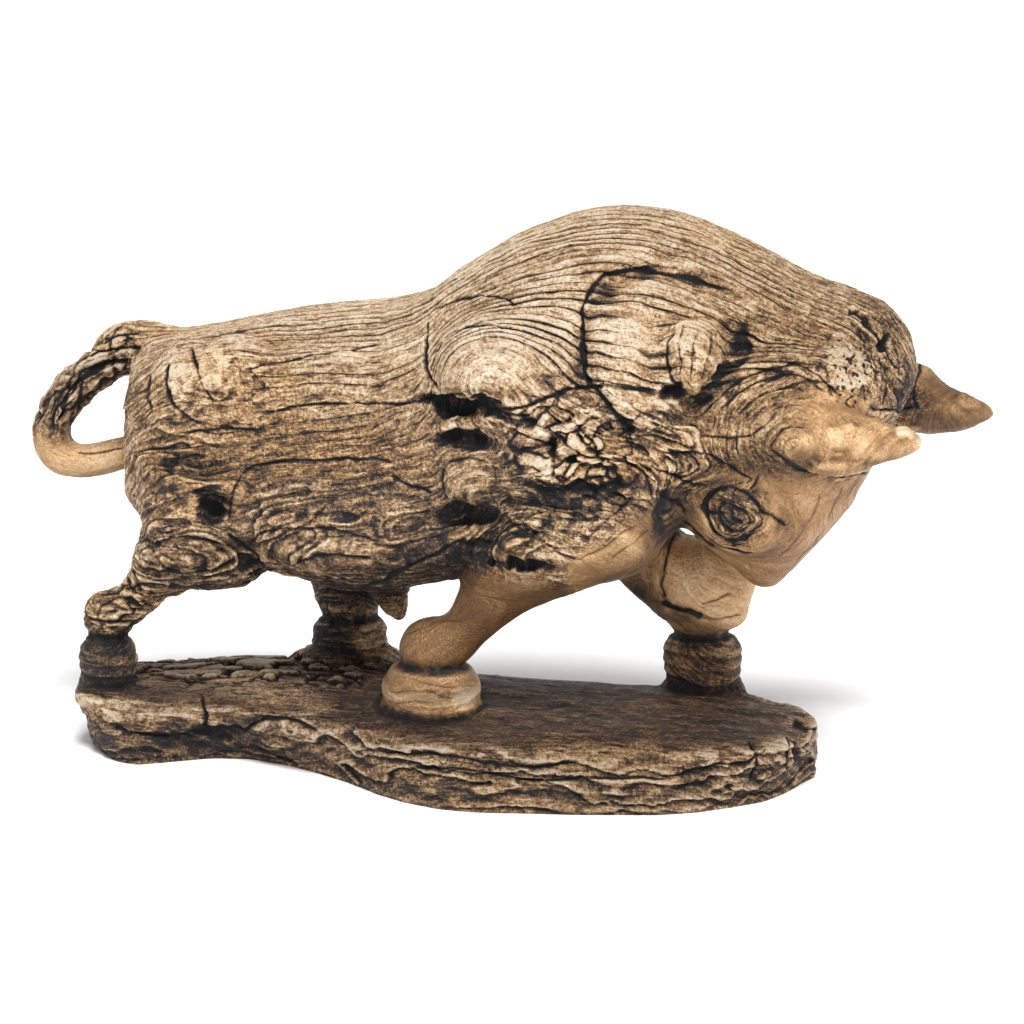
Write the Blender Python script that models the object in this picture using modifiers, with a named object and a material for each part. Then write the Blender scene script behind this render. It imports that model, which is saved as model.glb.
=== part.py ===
"""A charging bull carved in the manner of weathered timber, cast in one with its log plinth.

Metres, +Z up, the bull faces +X and its better side faces -Y.
"""

import math

import bmesh
import bpy
import numpy as np

# Driving sizes, in metres.
FIGURE_LENGTH = 0.345        # from the bend of the tail to the tip of the far horn
PLINTH_LENGTH = 0.2685
PLINTH_FRONT_HEIGHT = 0.0240  # the bark face under the near legs
PLINTH_CROWN = 0.0280        # height of the rounded top, where the hooves stand
PLINTH_BACK_HEIGHT = 0.0170
FUSING_CELL = 0.00176        # cell of the pass that fuses the bodies into one skin
FACE_BUDGET = 9400           # triangles kept in the finished solid

# The free form is written in shares of the figure's length: one share is a 345th of it.
# Its heights are written for hooves that stand at DRAWN_STAND, and LIFT takes the figure to the crown.
SHARE = FIGURE_LENGTH / 345.0
STAND = PLINTH_CROWN / SHARE
DRAWN_STAND = 28.0
LIFT = STAND - DRAWN_STAND
PLINTH_MIDDLE = -25.75       # where the plinth's middle lies along the figure, in shares

# Body outline. Each row: along, belly, back, half width, height of the widest line.
TRUNK = [
    (-141.0, 102.0, 128.0, 10.0, 114.0),
    (-137.6, 90.0, 146.0, 24.0, 114.0),
    (-130.0, 82.0, 153.5, 32.0, 114.0),
    (-118.0, 74.5, 155.0, 36.5, 114.0),
    (-103.0, 74.0, 158.0, 38.5, 114.0),
    (-92.0, 72.2, 160.6, 39.5, 113.5),
    (-82.0, 67.6, 163.4, 40.5, 113.0),
    (-60.0, 62.5, 166.0, 42.5, 113.0),
    (-42.0, 63.5, 168.3, 43.0, 114.0),
    (-30.0, 67.0, 172.3, 43.5, 115.0),
    (-18.0, 70.0, 181.6, 44.0, 118.0),
    (-4.0, 69.5, 190.7, 45.0, 121.0),
    (10.0, 69.0, 197.4, 46.0, 124.0),
    (24.0, 69.4, 202.2, 46.5, 127.0),
    (36.0, 70.8, 203.9, 46.5, 130.0),
    (48.0, 75.6, 203.7, 46.0, 133.0),
    (55.0, 88.0, 202.4, 45.5, 134.0),
    (64.0, 98.0, 200.0, 44.5, 136.0),
    (78.0, 102.0, 194.2, 42.5, 139.0),
    (92.0, 106.0, 187.0, 40.0, 141.0),
    (106.0, 114.0, 179.8, 38.0, 143.0),
    (118.0, 122.0, 176.6, 34.0, 146.0),
    (128.6, 131.0, 172.6, 28.0, 148.0),
    (136.0, 138.0, 165.0, 20.0, 150.0),
    (139.5, 146.0, 156.0, 9.0, 150.0),
]

# Hanging head, level cuts from the poll down to the muzzle: height, along, half length, half width.
HEAD = [
    (172.0, 106.0, 22.0, 26.0),
    (162.0, 103.5, 30.5, 33.0),
    (150.0, 101.0, 36.0, 37.0),
    (138.0, 98.5, 37.5, 37.5),
    (125.0, 94.6, 36.0, 35.5),
    (112.0, 89.6, 34.1, 32.0),
    (101.0, 87.4, 31.3, 28.0),
    (91.0, 86.6, 24.0, 23.0),
    (84.0, 87.4, 17.0, 17.5),
    (77.0, 89.0, 9.6, 12.0),
    (71.0, 89.0, 4.5, 6.0),
]

# Limbs, horns and tail: each point is along, across, height, radius.
NEAR_FORELEG = [
    (42, -24, 104, 24), (26, -26, 93, 20), (7.4, -27, 80.8, 16.4), (-4.8, -26, 67.4, 11.2),
    (-13.4, -24, 56.2, 8.4), (-21.6, -22.5, 48.8, 10.9), (-26, -21.8, 46.5, 12.7), (-26.4, -21.5, 40.5, 9.8),
]
FAR_FORELEG = [
    (26, 20, 96, 20), (38, 23, 80, 15), (48, 26, 69, 14.5), (60, 26, 61.5, 18.2),
    (63.5, 26, 55, 17.6), (62.5, 26, 49.5, 12.5), (62.8, 26, 45.5, 9.8), (63.2, 26.5, 40, 12.0),
]
NEAR_HINDLEG = [
    (-106, -20, 112, 29), (-110, -20, 95, 24.5), (-115.6, -19, 82, 19.4), (-124.6, -18, 72.4, 13.5),
    (-131.4, -16.5, 63.2, 8.4), (-140.1, -15, 54.4, 7.6), (-148.3, -14.5, 49.8, 9.7), (-148.4, -14, 44.4, 7.4),
    (-149, -14, 39, 9.5),
]
FAR_HINDLEG = [
    (-88, 20, 104, 24), (-78, 23, 84, 17), (-71, 24, 68, 13.5), (-69, 24, 57, 13.5),
    (-68, 24, 50.5, 12.6), (-67.3, 24, 45.5, 10.4), (-68, 24, 40, 12.0),
]
TAIL = [
    (-126, 0, 147, 7), (-139, 0, 149.6, 8.0), (-148.8, 0, 142.6, 8.5), (-159, 0, 134, 7.4),
    (-167.5, 0, 126, 6.6), (-172.6, 0, 115, 7.4), (-171.3, 0, 106.6, 7.0), (-162.5, 0, 103.4, 6.6),
    (-151, 0, 105.8, 6.5), (-141, 0, 109.3, 5.8), (-130, 0, 111, 5.0),
]
NEAR_HORN = [
    (86, -24, 136, 13), (97, -34, 136.5, 13), (108, -38, 135.5, 12.8), (118, -40, 134, 12.5),
    (128, -41.5, 133.5, 9.4), (136, -43, 134, 6.6), (142, -44.5, 135, 4.8), (147, -46, 136.3, 2.6),
]
FAR_HORN = [
    (104, 24, 140, 14), (122, 32, 137, 14), (134, 35, 133, 13.1), (141, 36, 130.4, 11.2),
    (149, 37.5, 128.6, 8.4), (156, 39, 128.2, 5.8), (162, 40.5, 127.4, 3.2), (165, 41.2, 127, 1.8),
]

# Hooves, each under the last point of its leg: the leg, height of the hoof's top, half width at the top,
# half width at the ground, depth of the ring cut round the pastern above it.
HOOVES = [
    (NEAR_FORELEG, 39.5, 13.8, 16.8, 0.8),
    (FAR_FORELEG, 42.5, 14.0, 13.4, 1.0),
    (NEAR_HINDLEG, 39.5, 10.1, 10.2, 0.6),
    (FAR_HINDLEG, 42.0, 13.4, 12.8, 0.8),
]

# Swellings: along, across, height, half sizes, turn about the across axis in degrees.
LUMPS = [
    (-1, -34.5, 153, 22, 13, 17.5, 0),         # shoulder blade boss
    (-5, -38, 115, 12, 9, 11.5, 0),            # small boss under it
    (21, -38, 140, 14, 9.5, 10, -25),          # knots behind the shoulder crease
    (37, -37, 130, 12, 10, 13, 20),
    (29, -37, 116, 16, 10.5, 10, -30),
    (12, -33, 96, 17, 12, 11, -35),            # folds over the foreleg
    (34, -25, 96, 22, 17, 20, -30),            # upper arm
    (52, -33, 120, 15, 12, 28, 15),            # side of the neck
    (-110, -25.5, 139, 17, 8.5, 17, 35),       # folds of the haunch
    (-92, -30, 146, 14, 7.5, 14, 35),
    (-108, -24, 117, 27, 16, 28, 15),
    (-114, -16, 101, 26.6, 16, 17, 0),        # buttock
    (-102, -20, 73.8, 15, 12, 10.3, -8),       # stifle
    (-58, -30, 92, 32, 12.5, 17, 5),           # belly swell
    (-62, -31, 138, 34, 10, 18, 0),            # rib swell
    (69, -36, 157, 9.5, 11.5, 17, -10),        # ear
    (84, -22, 104, 17, 12, 17, 0),             # cheek knot
    (112, -20, 150, 20, 18, 20, 0),            # brow
    (128, 12, 148, 10, 16, 14, 0),
    (68.4, 25, 68, 15.2, 13, 16, 0),           # knee of the far foreleg
    (66, 26, 25, 13, 15, 5, 0),                # spread of wood at the far feet
    (-68, 25, 27.6, 22, 16, 5.2, 0),
    (0, 31.5, 150, 28, 13, 24, 0),             # the far side, in keeping and plainer
    (34, 33.5, 122, 24, 12.5, 26, 15),
    (34, 24, 98, 20, 17, 18, -20),
    (67, 35, 156, 10, 12, 17, -10),
    (-106, 24.5, 128, 27, 12, 24, 20),
    (-112, 16, 100, 24, 16, 18, 0),
    (-56, 30, 96, 36, 12.5, 22, 0),
    (86, 22, 104, 16, 12, 16, 0),
    (112, 20, 150, 17, 18, 20, 0),
]

# Dents cut after the fusing pass: along, across, height, half sizes, depth.
DENTS = [
    (-13, -46, 138.5, 12, 10, 4.5, 5.5),       # hollows under the shoulder blade boss
    (-9, -46, 128.5, 9, 10, 4.0, 4.5),
    (-9, -43, 99, 11, 10, 5.0, 5.0),
    (-97, -40, 97, 6, 10, 6.5, 5.5),           # pocket in the thigh
    (-104, -38, 112, 6, 9, 8, 2.5),
    (81, -40, 165, 5, 12, 9, 5.0),             # behind the ear
    (76, -41, 151, 6, 10, 7, 4.0),
    (70, -42, 142, 8, 10, 5, 5.5),
    (54, -44, 158, 3.5, 12, 20, 3.2),          # before the ear
    (83.5, -36, 104, 4.5, 8, 4.5, 2.2),        # heart of the cheek knot
    (127, -18, 166, 9, 10, 5, 3.0),            # brow pits
    (131, -14, 160, 4, 8, 4, 4.0),
    (0, -47, 114, 4, 8, 12, 2.0),
    (16, -46, 128, 5, 8, 4, 2.5),
    (10, -42, 84, 16, 9, 3.5, 3.0),
    (-24, 44, 140, 12, 10, 6, 3.5),            # the far side
    (78, 40, 160, 6, 12, 10, 4.0),
    (-96, 40, 104, 8, 10, 8, 3.5),
    (10, 44, 100, 12, 9, 5, 3.0),
]

# Creases, as paths over the surface: width, depth, points of along, across, height.
CREASES = [
    (3.4, 4.2, [(58, -24, 191), (45, -34, 186), (34, -40, 178), (30, -44, 165), (33, -46, 150),
                (39, -47, 141), (44, -46, 128)]),
    (3.2, 3.0, [(52, -30, 188), (66, -32, 184), (81, -30, 180)]),
    (2.6, 3.2, [(-21, -46, 168), (-24, -45, 154), (-20, -46, 142), (-8, -47, 136), (8, -48, 136)]),
    (2.2, 2.4, [(-14, -44, 170), (2, -44, 173), (16, -46, 166), (21, -47, 152), (12, -48, 142)]),
    (2.6, 2.6, [(-84, -41, 150), (-84, -43, 133), (-86, -43, 120), (-84, -42, 107), (-90, -41, 95),
                (-92, -36, 80)]),
    (2.4, 2.4, [(-112, -36, 138), (-96, -40, 139), (-78, -42, 140), (-50, -44, 142), (-18, -45, 142)]),
    (2.2, 2.0, [(-84, -42, 107), (-78, -43, 116), (-57, -44, 119), (-32, -45, 115), (-17, -46, 118)]),
    (2.4, 2.2, [(-128, -30, 148), (-118, -36, 136), (-112, -38, 128), (-116, -36, 116)]),
    (2.2, 2.4, [(-103, -36, 152), (-100, -38, 143), (-104, -38, 134), (-112, -37, 128)]),
    (2.6, 3.0, [(-34, -38, 76), (-28, -42, 86), (-20, -44, 96), (-10, -45, 106), (2, -45, 110)]),
    (2.4, 3.0, [(6, -36, 72), (-2, -38, 84), (-4, -40, 94), (2, -43, 104), (14, -44, 108)]),
    (2.4, 2.6, [(16, -44, 108), (30, -44, 104), (42, -42, 106), (50, -42, 116), (54, -44, 130)]),
    (2.4, 2.6, [(20, -47, 130), (30, -47, 124), (40, -46, 118), (44, -44, 112)]),
    (2.2, 2.2, [(60, -44, 172), (59, -46, 158), (62, -46, 146), (70, -44, 140)]),
    (2.4, 2.8, [(60, -42, 136), (74, -42, 136), (86, -42, 142), (98, -42, 146)]),
    (2.4, 2.6, [(66, -32, 122), (78, -38, 122), (92, -38, 118), (100, -30, 108), (98, -26, 96)]),
    (2.0, 2.0, [(72, -30, 108), (74, -34, 114), (83, -37, 117), (92, -34, 112), (95, -33, 104),
                (90, -32, 94), (80, -30, 92), (73, -30, 98), (72, -30, 108)]),
    (2.4, 3.0, [(98, -30, 150), (94, -38, 142), (95, -44, 133), (100, -44, 124), (108, -36, 120)]),
    (2.2, 2.2, [(58, -20, 92), (62, -24, 104), (60, -30, 116), (58, -36, 126)]),
    (2.6, 2.6, [(-84, 42, 150), (-86, 44, 128), (-84, 42, 107), (-92, 38, 82)]),
    (3.0, 3.4, [(54, 30, 188), (38, 40, 176), (32, 45, 160), (38, 46, 140), (46, 44, 124)]),
    (2.4, 2.4, [(-22, 44, 168), (-26, 45, 150), (-14, 46, 136), (8, 47, 132)]),
    (2.4, 2.4, [(-110, 38, 136), (-70, 43, 139), (-28, 45, 138)]),
    (2.4, 2.6, [(6, 38, 74), (-2, 40, 90), (12, 44, 106), (34, 42, 104), (48, 42, 116)]),
]

# Plinth seen from above, in shares: along, near edge at the ground, near edge at the top, far edge.
PLINTH_PLAN = [
    (-161.0, -7.0, -20.0, 4.0), (-157.0, -14.0, -25.0, 12.0), (-150.0, -23.0, -28.0, 18.0),
    (-143.0, -30.5, -30.0, 24.0), (-134.0, -33.0, -31.0, 30.0), (-122.0, -27.0, -31.0, 35.0),
    (-109.0, -19.5, -31.0, 39.0), (-95.0, -17.5, -31.0, 42.0), (-80.0, -21.5, -33.0, 44.0),
    (-65.0, -29.0, -37.0, 45.0), (-52.0, -37.0, -42.0, 45.0), (-40.0, -47.0, -48.0, 45.0),
    (-28.0, -53.5, -53.0, 45.0), (-14.0, -58.0, -57.5, 45.0), (0.0, -58.5, -57.0, 45.0),
    (14.0, -56.0, -52.5, 44.5), (30.0, -54.0, -47.5, 44.0), (46.0, -51.0, -45.0, 43.0),
    (60.0, -48.0, -44.0, 41.0), (73.0, -42.5, -43.0, 38.0), (84.0, -34.5, -42.0, 34.0),
    (94.0, -26.5, -38.0, 28.0), (101.5, -14.0, -29.0, 20.0), (106.5, 2.0, -20.0, 12.0),
    (108.5, 4.0, -12.0, 5.0),
]

# Height of the log's crown along it, as a share of PLINTH_CROWN.
CROWN_RUN = [(-160.0, 0.82), (-140.0, 0.87), (-120.0, 0.945), (-100.0, 1.015), (-70.0, 1.02), (-20.0, 0.97),
             (30.0, 0.955), (62.0, 0.94), (80.0, 0.87), (95.0, 0.83), (108.5, 0.77)]

# How far each end of the plinth leans out over its foot, along it.
PLINTH_LEAN = [(-160.0, -3.5), (-125.0, 0.0), (85.0, 0.0), (108.5, 1.2)]


def unfilled_scene():
    for old in list(bpy.data.objects):
        bpy.data.objects.remove(old, do_unlink=True)


def new_object(name, mesh, holder):
    made = bpy.data.objects.new(name, mesh)
    holder.objects.link(made)
    return made


def lofted(rings):
    """A closed body through rings of equal count, its two ends closed by fans."""
    count = len(rings[0])
    points = [p for ring in rings for p in ring]
    faces = []
    for r in range(len(rings) - 1):
        for k in range(count):
            a = r * count + k
            b = r * count + (k + 1) % count
            faces.append((a, b, b + count, a + count))
    for ring, turned in ((0, True), (len(rings) - 1, False)):
        points.append(tuple(sum(p[axis] for p in rings[ring]) / count for axis in range(3)))
        tip = len(points) - 1
        for k in range(count):
            a = ring * count + k
            b = ring * count + (k + 1) % count
            faces.append((b, a, tip) if turned else (a, b, tip))
    mesh = bpy.data.meshes.new("loft")
    mesh.from_pydata([tuple(c * SHARE for c in p) for p in points], [], faces)
    mesh.update()
    return mesh


def trunk_mesh():
    rings = []
    for along, belly, back, half, widest in TRUNK:
        ring = []
        for k in range(40):
            turn = 2 * math.pi * k / 40
            c, s = math.cos(turn), math.sin(turn)
            power = 0.88 if s > 0 else 0.80
            across = half * math.copysign(abs(c) ** power, c)
            reach = back - widest if s > 0 else widest - belly
            ring.append((along, across, widest + reach * math.copysign(abs(s) ** 0.92, s)))
        rings.append(ring)
    return lofted(rings)


def head_mesh():
    rings = []
    for height, along, half_long, half_wide in HEAD:
        ring = []
        for k in range(36):
            turn = 2 * math.pi * k / 36
            c, s = math.cos(turn), math.sin(turn)
            ring.append((along + half_long * math.copysign(abs(c) ** 0.9, c),
                         -half_wide * math.copysign(abs(s) ** 0.9, s), height))
        rings.append(ring)
    return lofted(rings)


def plinth_top(x, y, near):
    """Height of the log's rounded top at a place on it, in shares."""
    crown = STAND * float(np.interp(x, [c[0] for c in CROWN_RUN], [c[1] for c in CROWN_RUN]))
    front = min(PLINTH_FRONT_HEIGHT / SHARE, crown - 1.0)
    back = PLINTH_BACK_HEIGHT / SHARE
    if y < -5.0:
        return crown - (crown - front) * ((-5.0 - y) / (-5.0 - near)) ** 2
    return crown - (crown - back) * (max(0.0, y - 5.0) / 40.0) ** 1.6


def plinth_mesh():
    first, last = PLINTH_PLAN[0][0], PLINTH_PLAN[-1][0]
    spread = (PLINTH_LENGTH / SHARE) / (last - first)
    rings = []
    for along, foot, near, far in PLINTH_PLAN:
        x = PLINTH_MIDDLE + (along - PLINTH_MIDDLE) * spread
        lean = np.interp(along, *zip(*PLINTH_LEAN)) / STAND
        edge_top = plinth_top(along, near, near)
        ring = [(x, foot + 0.8, -4.0), (x, foot, 3.0)]
        for share in (0.3, 0.55, 0.78):
            ring.append((x, foot + (near - foot) * share - 0.8, 3.0 + (edge_top - 3.0) * share))
        for k in range(19):
            y = near + (far - near) * k / 18
            edge = min(k, 18 - k)
            soft = 1.8 * math.exp(-edge * 1.2)
            ring.append((x, y, plinth_top(along, y, near) - soft))
        ring += [(x, far + 0.5, 9.0), (x, far - 0.5, 3.0), (x, far - 1.5, -4.0)]
        rings.append([(px + lean * (pz - STAND / 2), py, pz) for px, py, pz in ring[::-1]])
    return lofted(rings)


def hoof_mesh(leg, top, half_top, half_ground):
    along, across = leg[-1][:2]
    sunk = DRAWN_STAND * 0.43
    rings = []
    for height, half in ((sunk, half_ground * 1.02), (DRAWN_STAND - 1, half_ground),
                         (DRAWN_STAND + 4, half_ground + 0.6), (top - 2.0, half_top + 0.4),
                         (top, half_top - 0.6), (top + 1.4, half_top - 4.0)):
        ring = []
        for k in range(24):
            turn = 2 * math.pi * k / 24
            ring.append((along + half * math.cos(turn), across + half * 0.95 * math.sin(turn), height))
        rings.append(ring)
    return lofted(rings)


def sheath_mesh():
    """A three-cornered flap that hangs under the belly."""
    corners = ((-58, 68), (-39.6, 68), (-40.2, 51.2), (-42.8, 48.9), (-50.6, 55.6))
    rings = [[(x, y, z) for x, z in corners] for y in (-4.0, -1.5, 1.5, 4.0)]
    return lofted(rings)


def limb(name, points, holder):
    """A limb as a bevelled curve whose radius follows the points."""
    path = bpy.data.curves.new(name, "CURVE")
    path.dimensions = "3D"
    path.bevel_depth = SHARE
    path.bevel_resolution = 6
    path.use_fill_caps = True
    path.resolution_u = 8
    line = path.splines.new("BEZIER")
    line.bezier_points.add(len(points) - 1)
    for point, (x, y, z, radius) in zip(line.bezier_points, points):
        point.co = (x * SHARE, y * SHARE, z * SHARE)
        point.radius = radius
        point.handle_left_type = "AUTO"
        point.handle_right_type = "AUTO"
    return new_object(name, path, holder)


def lump(row, holder):
    x, y, z, a, b, c, turn = row
    mesh = bpy.data.meshes.new("lump")
    form = bmesh.new()
    bmesh.ops.create_uvsphere(form, u_segments=28, v_segments=18, radius=SHARE)
    form.to_mesh(mesh)
    form.free()
    made = new_object("lump", mesh, holder)
    made.location = (x * SHARE, y * SHARE, z * SHARE)
    made.scale = (a, b, c)
    made.rotation_euler = (0, math.radians(turn), 0)
    return made


def evaluated_mesh(made):
    """The object's shape in world space as a new mesh."""
    graph = bpy.context.evaluated_depsgraph_get()
    mesh = bpy.data.meshes.new_from_object(made.evaluated_get(graph), depsgraph=graph)
    mesh.transform(made.matrix_world)
    return mesh


def joined(meshes):
    whole = bmesh.new()
    for mesh in meshes:
        whole.from_mesh(mesh)
    out = bpy.data.meshes.new("joined")
    whole.to_mesh(out)
    whole.free()
    return out


def near_path(points, path):
    """Least distance of every point to a path of straight pieces."""
    least = np.full(len(points), 1e9)
    for start, end in zip(path[:-1], path[1:]):
        a = np.array(start, float)
        d = np.array(end, float) - a
        t = np.clip(((points - a) @ d) / (d @ d), 0, 1)
        least = np.minimum(least, np.linalg.norm(points - a - t[:, None] * d, axis=1))
    return least


def carve(mesh):
    """Sinks the dents, creases and pastern rings along the surface normals."""
    count = len(mesh.vertices)
    place = np.empty(count * 3, np.float32)
    mesh.vertices.foreach_get("co", place)
    place = place.reshape(-1, 3).astype(np.float64) / SHARE - (0, 0, LIFT)
    facing = np.empty(count * 3, np.float32)
    mesh.vertices.foreach_get("normal", facing)
    facing = facing.reshape(-1, 3).astype(np.float64)
    sink = np.zeros(count)
    for x, y, z, a, b, c, depth in DENTS:
        away = ((place[:, 0] - x) / a) ** 2 + ((place[:, 1] - y) / b) ** 2 + ((place[:, 2] - z) / c) ** 2
        sink += depth * np.exp(-away ** 1.5)
    for width, depth, path in CREASES:
        sink += depth * np.exp(-(near_path(place, path) / width) ** 2)
    for leg, top, half_top, _, depth in HOOVES:
        away = np.hypot(place[:, 0] - leg[-1][0], place[:, 1] - leg[-1][1])
        sink += depth * np.exp(-((place[:, 2] - top - 2.8) / 2.0) ** 2) * (away < half_top + 4.0)
    place += (0, 0, LIFT) - facing * np.minimum(sink, 7.0)[:, None]
    mesh.vertices.foreach_set("co", (place * SHARE).astype(np.float32).reshape(-1))
    mesh.update()


def modified(mesh, kind, holder, **settings):
    made = new_object("stage", mesh, holder)
    step = made.modifiers.new("step", kind)
    for key, value in settings.items():
        setattr(step, key, value)
    out = evaluated_mesh(made)
    bpy.data.objects.remove(made, do_unlink=True)
    return out


def cut_flat(mesh):
    """Cuts the plinth level at z = 0 and closes the cut with one flat face."""
    form = bmesh.new()
    form.from_mesh(mesh)
    whole = form.verts[:] + form.edges[:] + form.faces[:]
    bmesh.ops.bisect_plane(form, geom=whole, dist=1e-6, plane_co=(0, 0, 0), plane_no=(0, 0, 1),
                           clear_inner=True)
    rim = [e for e in form.edges if e.is_boundary]
    bmesh.ops.holes_fill(form, edges=rim, sides=0)
    bmesh.ops.recalc_face_normals(form, faces=form.faces[:])
    form.to_mesh(mesh)
    form.free()


def bronze():
    paint = bpy.data.materials.new("bronze_paint_over_casting")
    paint.use_nodes = True
    shader = paint.node_tree.nodes["Principled BSDF"]
    shader.inputs["Base Color"].default_value = (0.42, 0.25, 0.11, 1)
    shader.inputs["Metallic"].default_value = 0.45
    shader.inputs["Roughness"].default_value = 0.45
    return paint


def main():
    unfilled_scene()
    scene = bpy.context.scene
    holder = bpy.data.collections.new("bull_statuette_parts")
    scene.collection.children.link(holder)

    # The free form is made of many overlapping bodies, then fused into one skin.
    made = [new_object("trunk", trunk_mesh(), holder), new_object("head", head_mesh(), holder),
            new_object("sheath", sheath_mesh(), holder)]
    made += [new_object("hoof", hoof_mesh(*row[:4]), holder) for row in HOOVES]
    made += [lump(row, holder) for row in LUMPS]
    for name, points in (("near_foreleg", NEAR_FORELEG), ("far_foreleg", FAR_FORELEG),
                         ("near_hindleg", NEAR_HINDLEG), ("far_hindleg", FAR_HINDLEG),
                         ("tail", TAIL), ("near_horn", NEAR_HORN), ("far_horn", FAR_HORN)):
        made.append(limb(name, points, holder))
    for item in made:
        item.location.z += LIFT * SHARE
    made.append(new_object("plinth", plinth_mesh(), holder))
    bpy.context.view_layer.update()
    whole = joined([evaluated_mesh(item) for item in made])
    for item in made:
        bpy.data.objects.remove(item, do_unlink=True)

    fused = modified(whole, "REMESH", holder, mode="VOXEL", voxel_size=FUSING_CELL)
    fused = modified(fused, "SMOOTH", holder, factor=0.5, iterations=5)
    carve(fused)
    fused = modified(fused, "SMOOTH", holder, factor=0.5, iterations=2)
    faces = 2 * len(fused.polygons)
    thinned = modified(fused, "DECIMATE", holder, decimate_type="COLLAPSE", ratio=FACE_BUDGET / faces)
    cut_flat(thinned)

    # The origin sits under the middle of the whole work, on its underside.
    spots = np.array([v.co[:] for v in thinned.vertices])
    low, high = spots.min(axis=0), spots.max(axis=0)
    shift = -(low + high) / 2
    shift[2] = -low[2]
    for vertex in thinned.vertices:
        vertex.co = vertex.co + type(vertex.co)(shift)
    thinned.name = "bull_statuette"
    thinned.materials.clear()
    thinned.materials.append(bronze())
    statue = new_object("bull_statuette", thinned, holder)
    for face in statue.data.polygons:
        face.use_smooth = face.normal.z > -0.98
    return shift


main()
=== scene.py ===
"""Looks of the bull statuette: weathered-timber carving, bronze paint rubbed over black."""
import math

import bmesh
import bpy
import numpy as np
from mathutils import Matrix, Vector, kdtree


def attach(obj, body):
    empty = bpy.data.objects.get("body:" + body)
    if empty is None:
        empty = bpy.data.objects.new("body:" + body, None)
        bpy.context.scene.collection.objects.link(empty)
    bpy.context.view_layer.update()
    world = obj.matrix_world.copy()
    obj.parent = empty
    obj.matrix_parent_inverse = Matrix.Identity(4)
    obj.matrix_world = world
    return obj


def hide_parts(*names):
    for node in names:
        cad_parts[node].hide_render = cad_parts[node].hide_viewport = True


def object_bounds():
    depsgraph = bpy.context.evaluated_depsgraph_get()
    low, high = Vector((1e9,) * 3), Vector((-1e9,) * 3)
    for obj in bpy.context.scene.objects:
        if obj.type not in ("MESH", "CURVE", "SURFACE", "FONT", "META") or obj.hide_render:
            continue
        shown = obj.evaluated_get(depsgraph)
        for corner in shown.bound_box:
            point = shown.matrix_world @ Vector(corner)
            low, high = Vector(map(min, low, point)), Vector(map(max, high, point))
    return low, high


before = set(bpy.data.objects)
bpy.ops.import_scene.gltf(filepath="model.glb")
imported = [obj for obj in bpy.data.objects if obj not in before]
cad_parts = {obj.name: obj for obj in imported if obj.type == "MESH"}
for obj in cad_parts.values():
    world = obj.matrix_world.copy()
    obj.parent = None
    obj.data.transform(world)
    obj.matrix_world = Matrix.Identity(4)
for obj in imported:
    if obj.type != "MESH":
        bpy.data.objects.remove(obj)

cad_low, cad_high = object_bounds()
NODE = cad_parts["bull_statuette"]
SHIFT = np.array([7.703, 5.544, 0.0])  # the carving is laid out in millimetres round the body's own middle
CELL = 0.00060                         # spacing of the fine skin, in metres
MOST_TRIANGLES = 194000
PITCH = 3.0                            # spacing of the grain lines, in millimetres
DEEPEST, HIGHEST = -6.0, 2.3           # of the carving, from the plain form, in millimetres
MARGIN = 0.05                          # how far the skin keeps inside the solid's box, in millimetres

# The camera's view. The near side's carving is laid out as this view shows it.
AZIMUTH, ELEVATION = math.radians(12.0), math.radians(14.0)
DISTANCE = 1200.0                      # from the target, in millimetres
TARGET = np.array([0.0, -8.0, 96.0])
PIXEL = 0.352                          # millimetres a pixel at the target
FRAME = 1024                           # the picture's side, in pixels
MIDDLE = (512, 509)                    # the target's place in it, from its upper left corner
SENSOR = 36                            # millimetres
AWAY = np.array([math.sin(AZIMUTH) * math.cos(ELEVATION), -math.cos(AZIMUTH) * math.cos(ELEVATION),
                 math.sin(ELEVATION)])
RIGHT = np.array([math.cos(AZIMUTH), math.sin(AZIMUTH), 0.0])
UP = np.cross(AWAY, RIGHT)


# Noise, in millimetres. Every value follows from the place alone.

def lattice(i, j, k, seed):
    h = (i * 374761393 + j * 668265263 + k * 1440662683 + seed * 974634777) & 0xFFFFFFFF
    h = ((h ^ (h >> 13)) * 1274126177) & 0xFFFFFFFF
    h = h ^ (h >> 16)
    return (h & 0xFFFFFF) / 8388607.5 - 1.0


def noise(p, size, seed):
    q = p / np.asarray(size, float)
    i = np.floor(q).astype(np.int64)
    f = q - i
    f = f * f * f * (f * (f * 6 - 15) + 10)
    total = 0.0
    for dx in (0, 1):
        wx = f[:, 0] if dx else 1 - f[:, 0]
        for dy in (0, 1):
            wy = f[:, 1] if dy else 1 - f[:, 1]
            for dz in (0, 1):
                wz = f[:, 2] if dz else 1 - f[:, 2]
                total = total + wx * wy * wz * lattice(i[:, 0] + dx, i[:, 1] + dy, i[:, 2] + dz, seed)
    return total


def fractal(p, size, seed, octaves=3):
    size = np.asarray(size, float)
    return sum(noise(p, size / 2 ** n, seed + n) * 0.5 ** n for n in range(octaves)) / 1.5


def ramp(x, a, b):
    t = np.clip((x - a) / (b - a), 0, 1)
    return t * t * (3 - 2 * t)


def shift(p, amount, size, seed, axes=3):
    """A small move for each place, so that no edge or line runs too evenly."""
    return amount * np.stack([noise(p, size, seed + n) for n in range(axes)], 1)


def ball(p, x, y, z, a, b, c, power):
    """1 in the middle of an ellipsoid, 0 well outside it."""
    away = ((p[:, 0] - x) / a) ** 2 + ((p[:, 1] - y) / b) ** 2 + ((p[:, 2] - z) / c) ** 2
    return np.exp(-away ** power)


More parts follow.
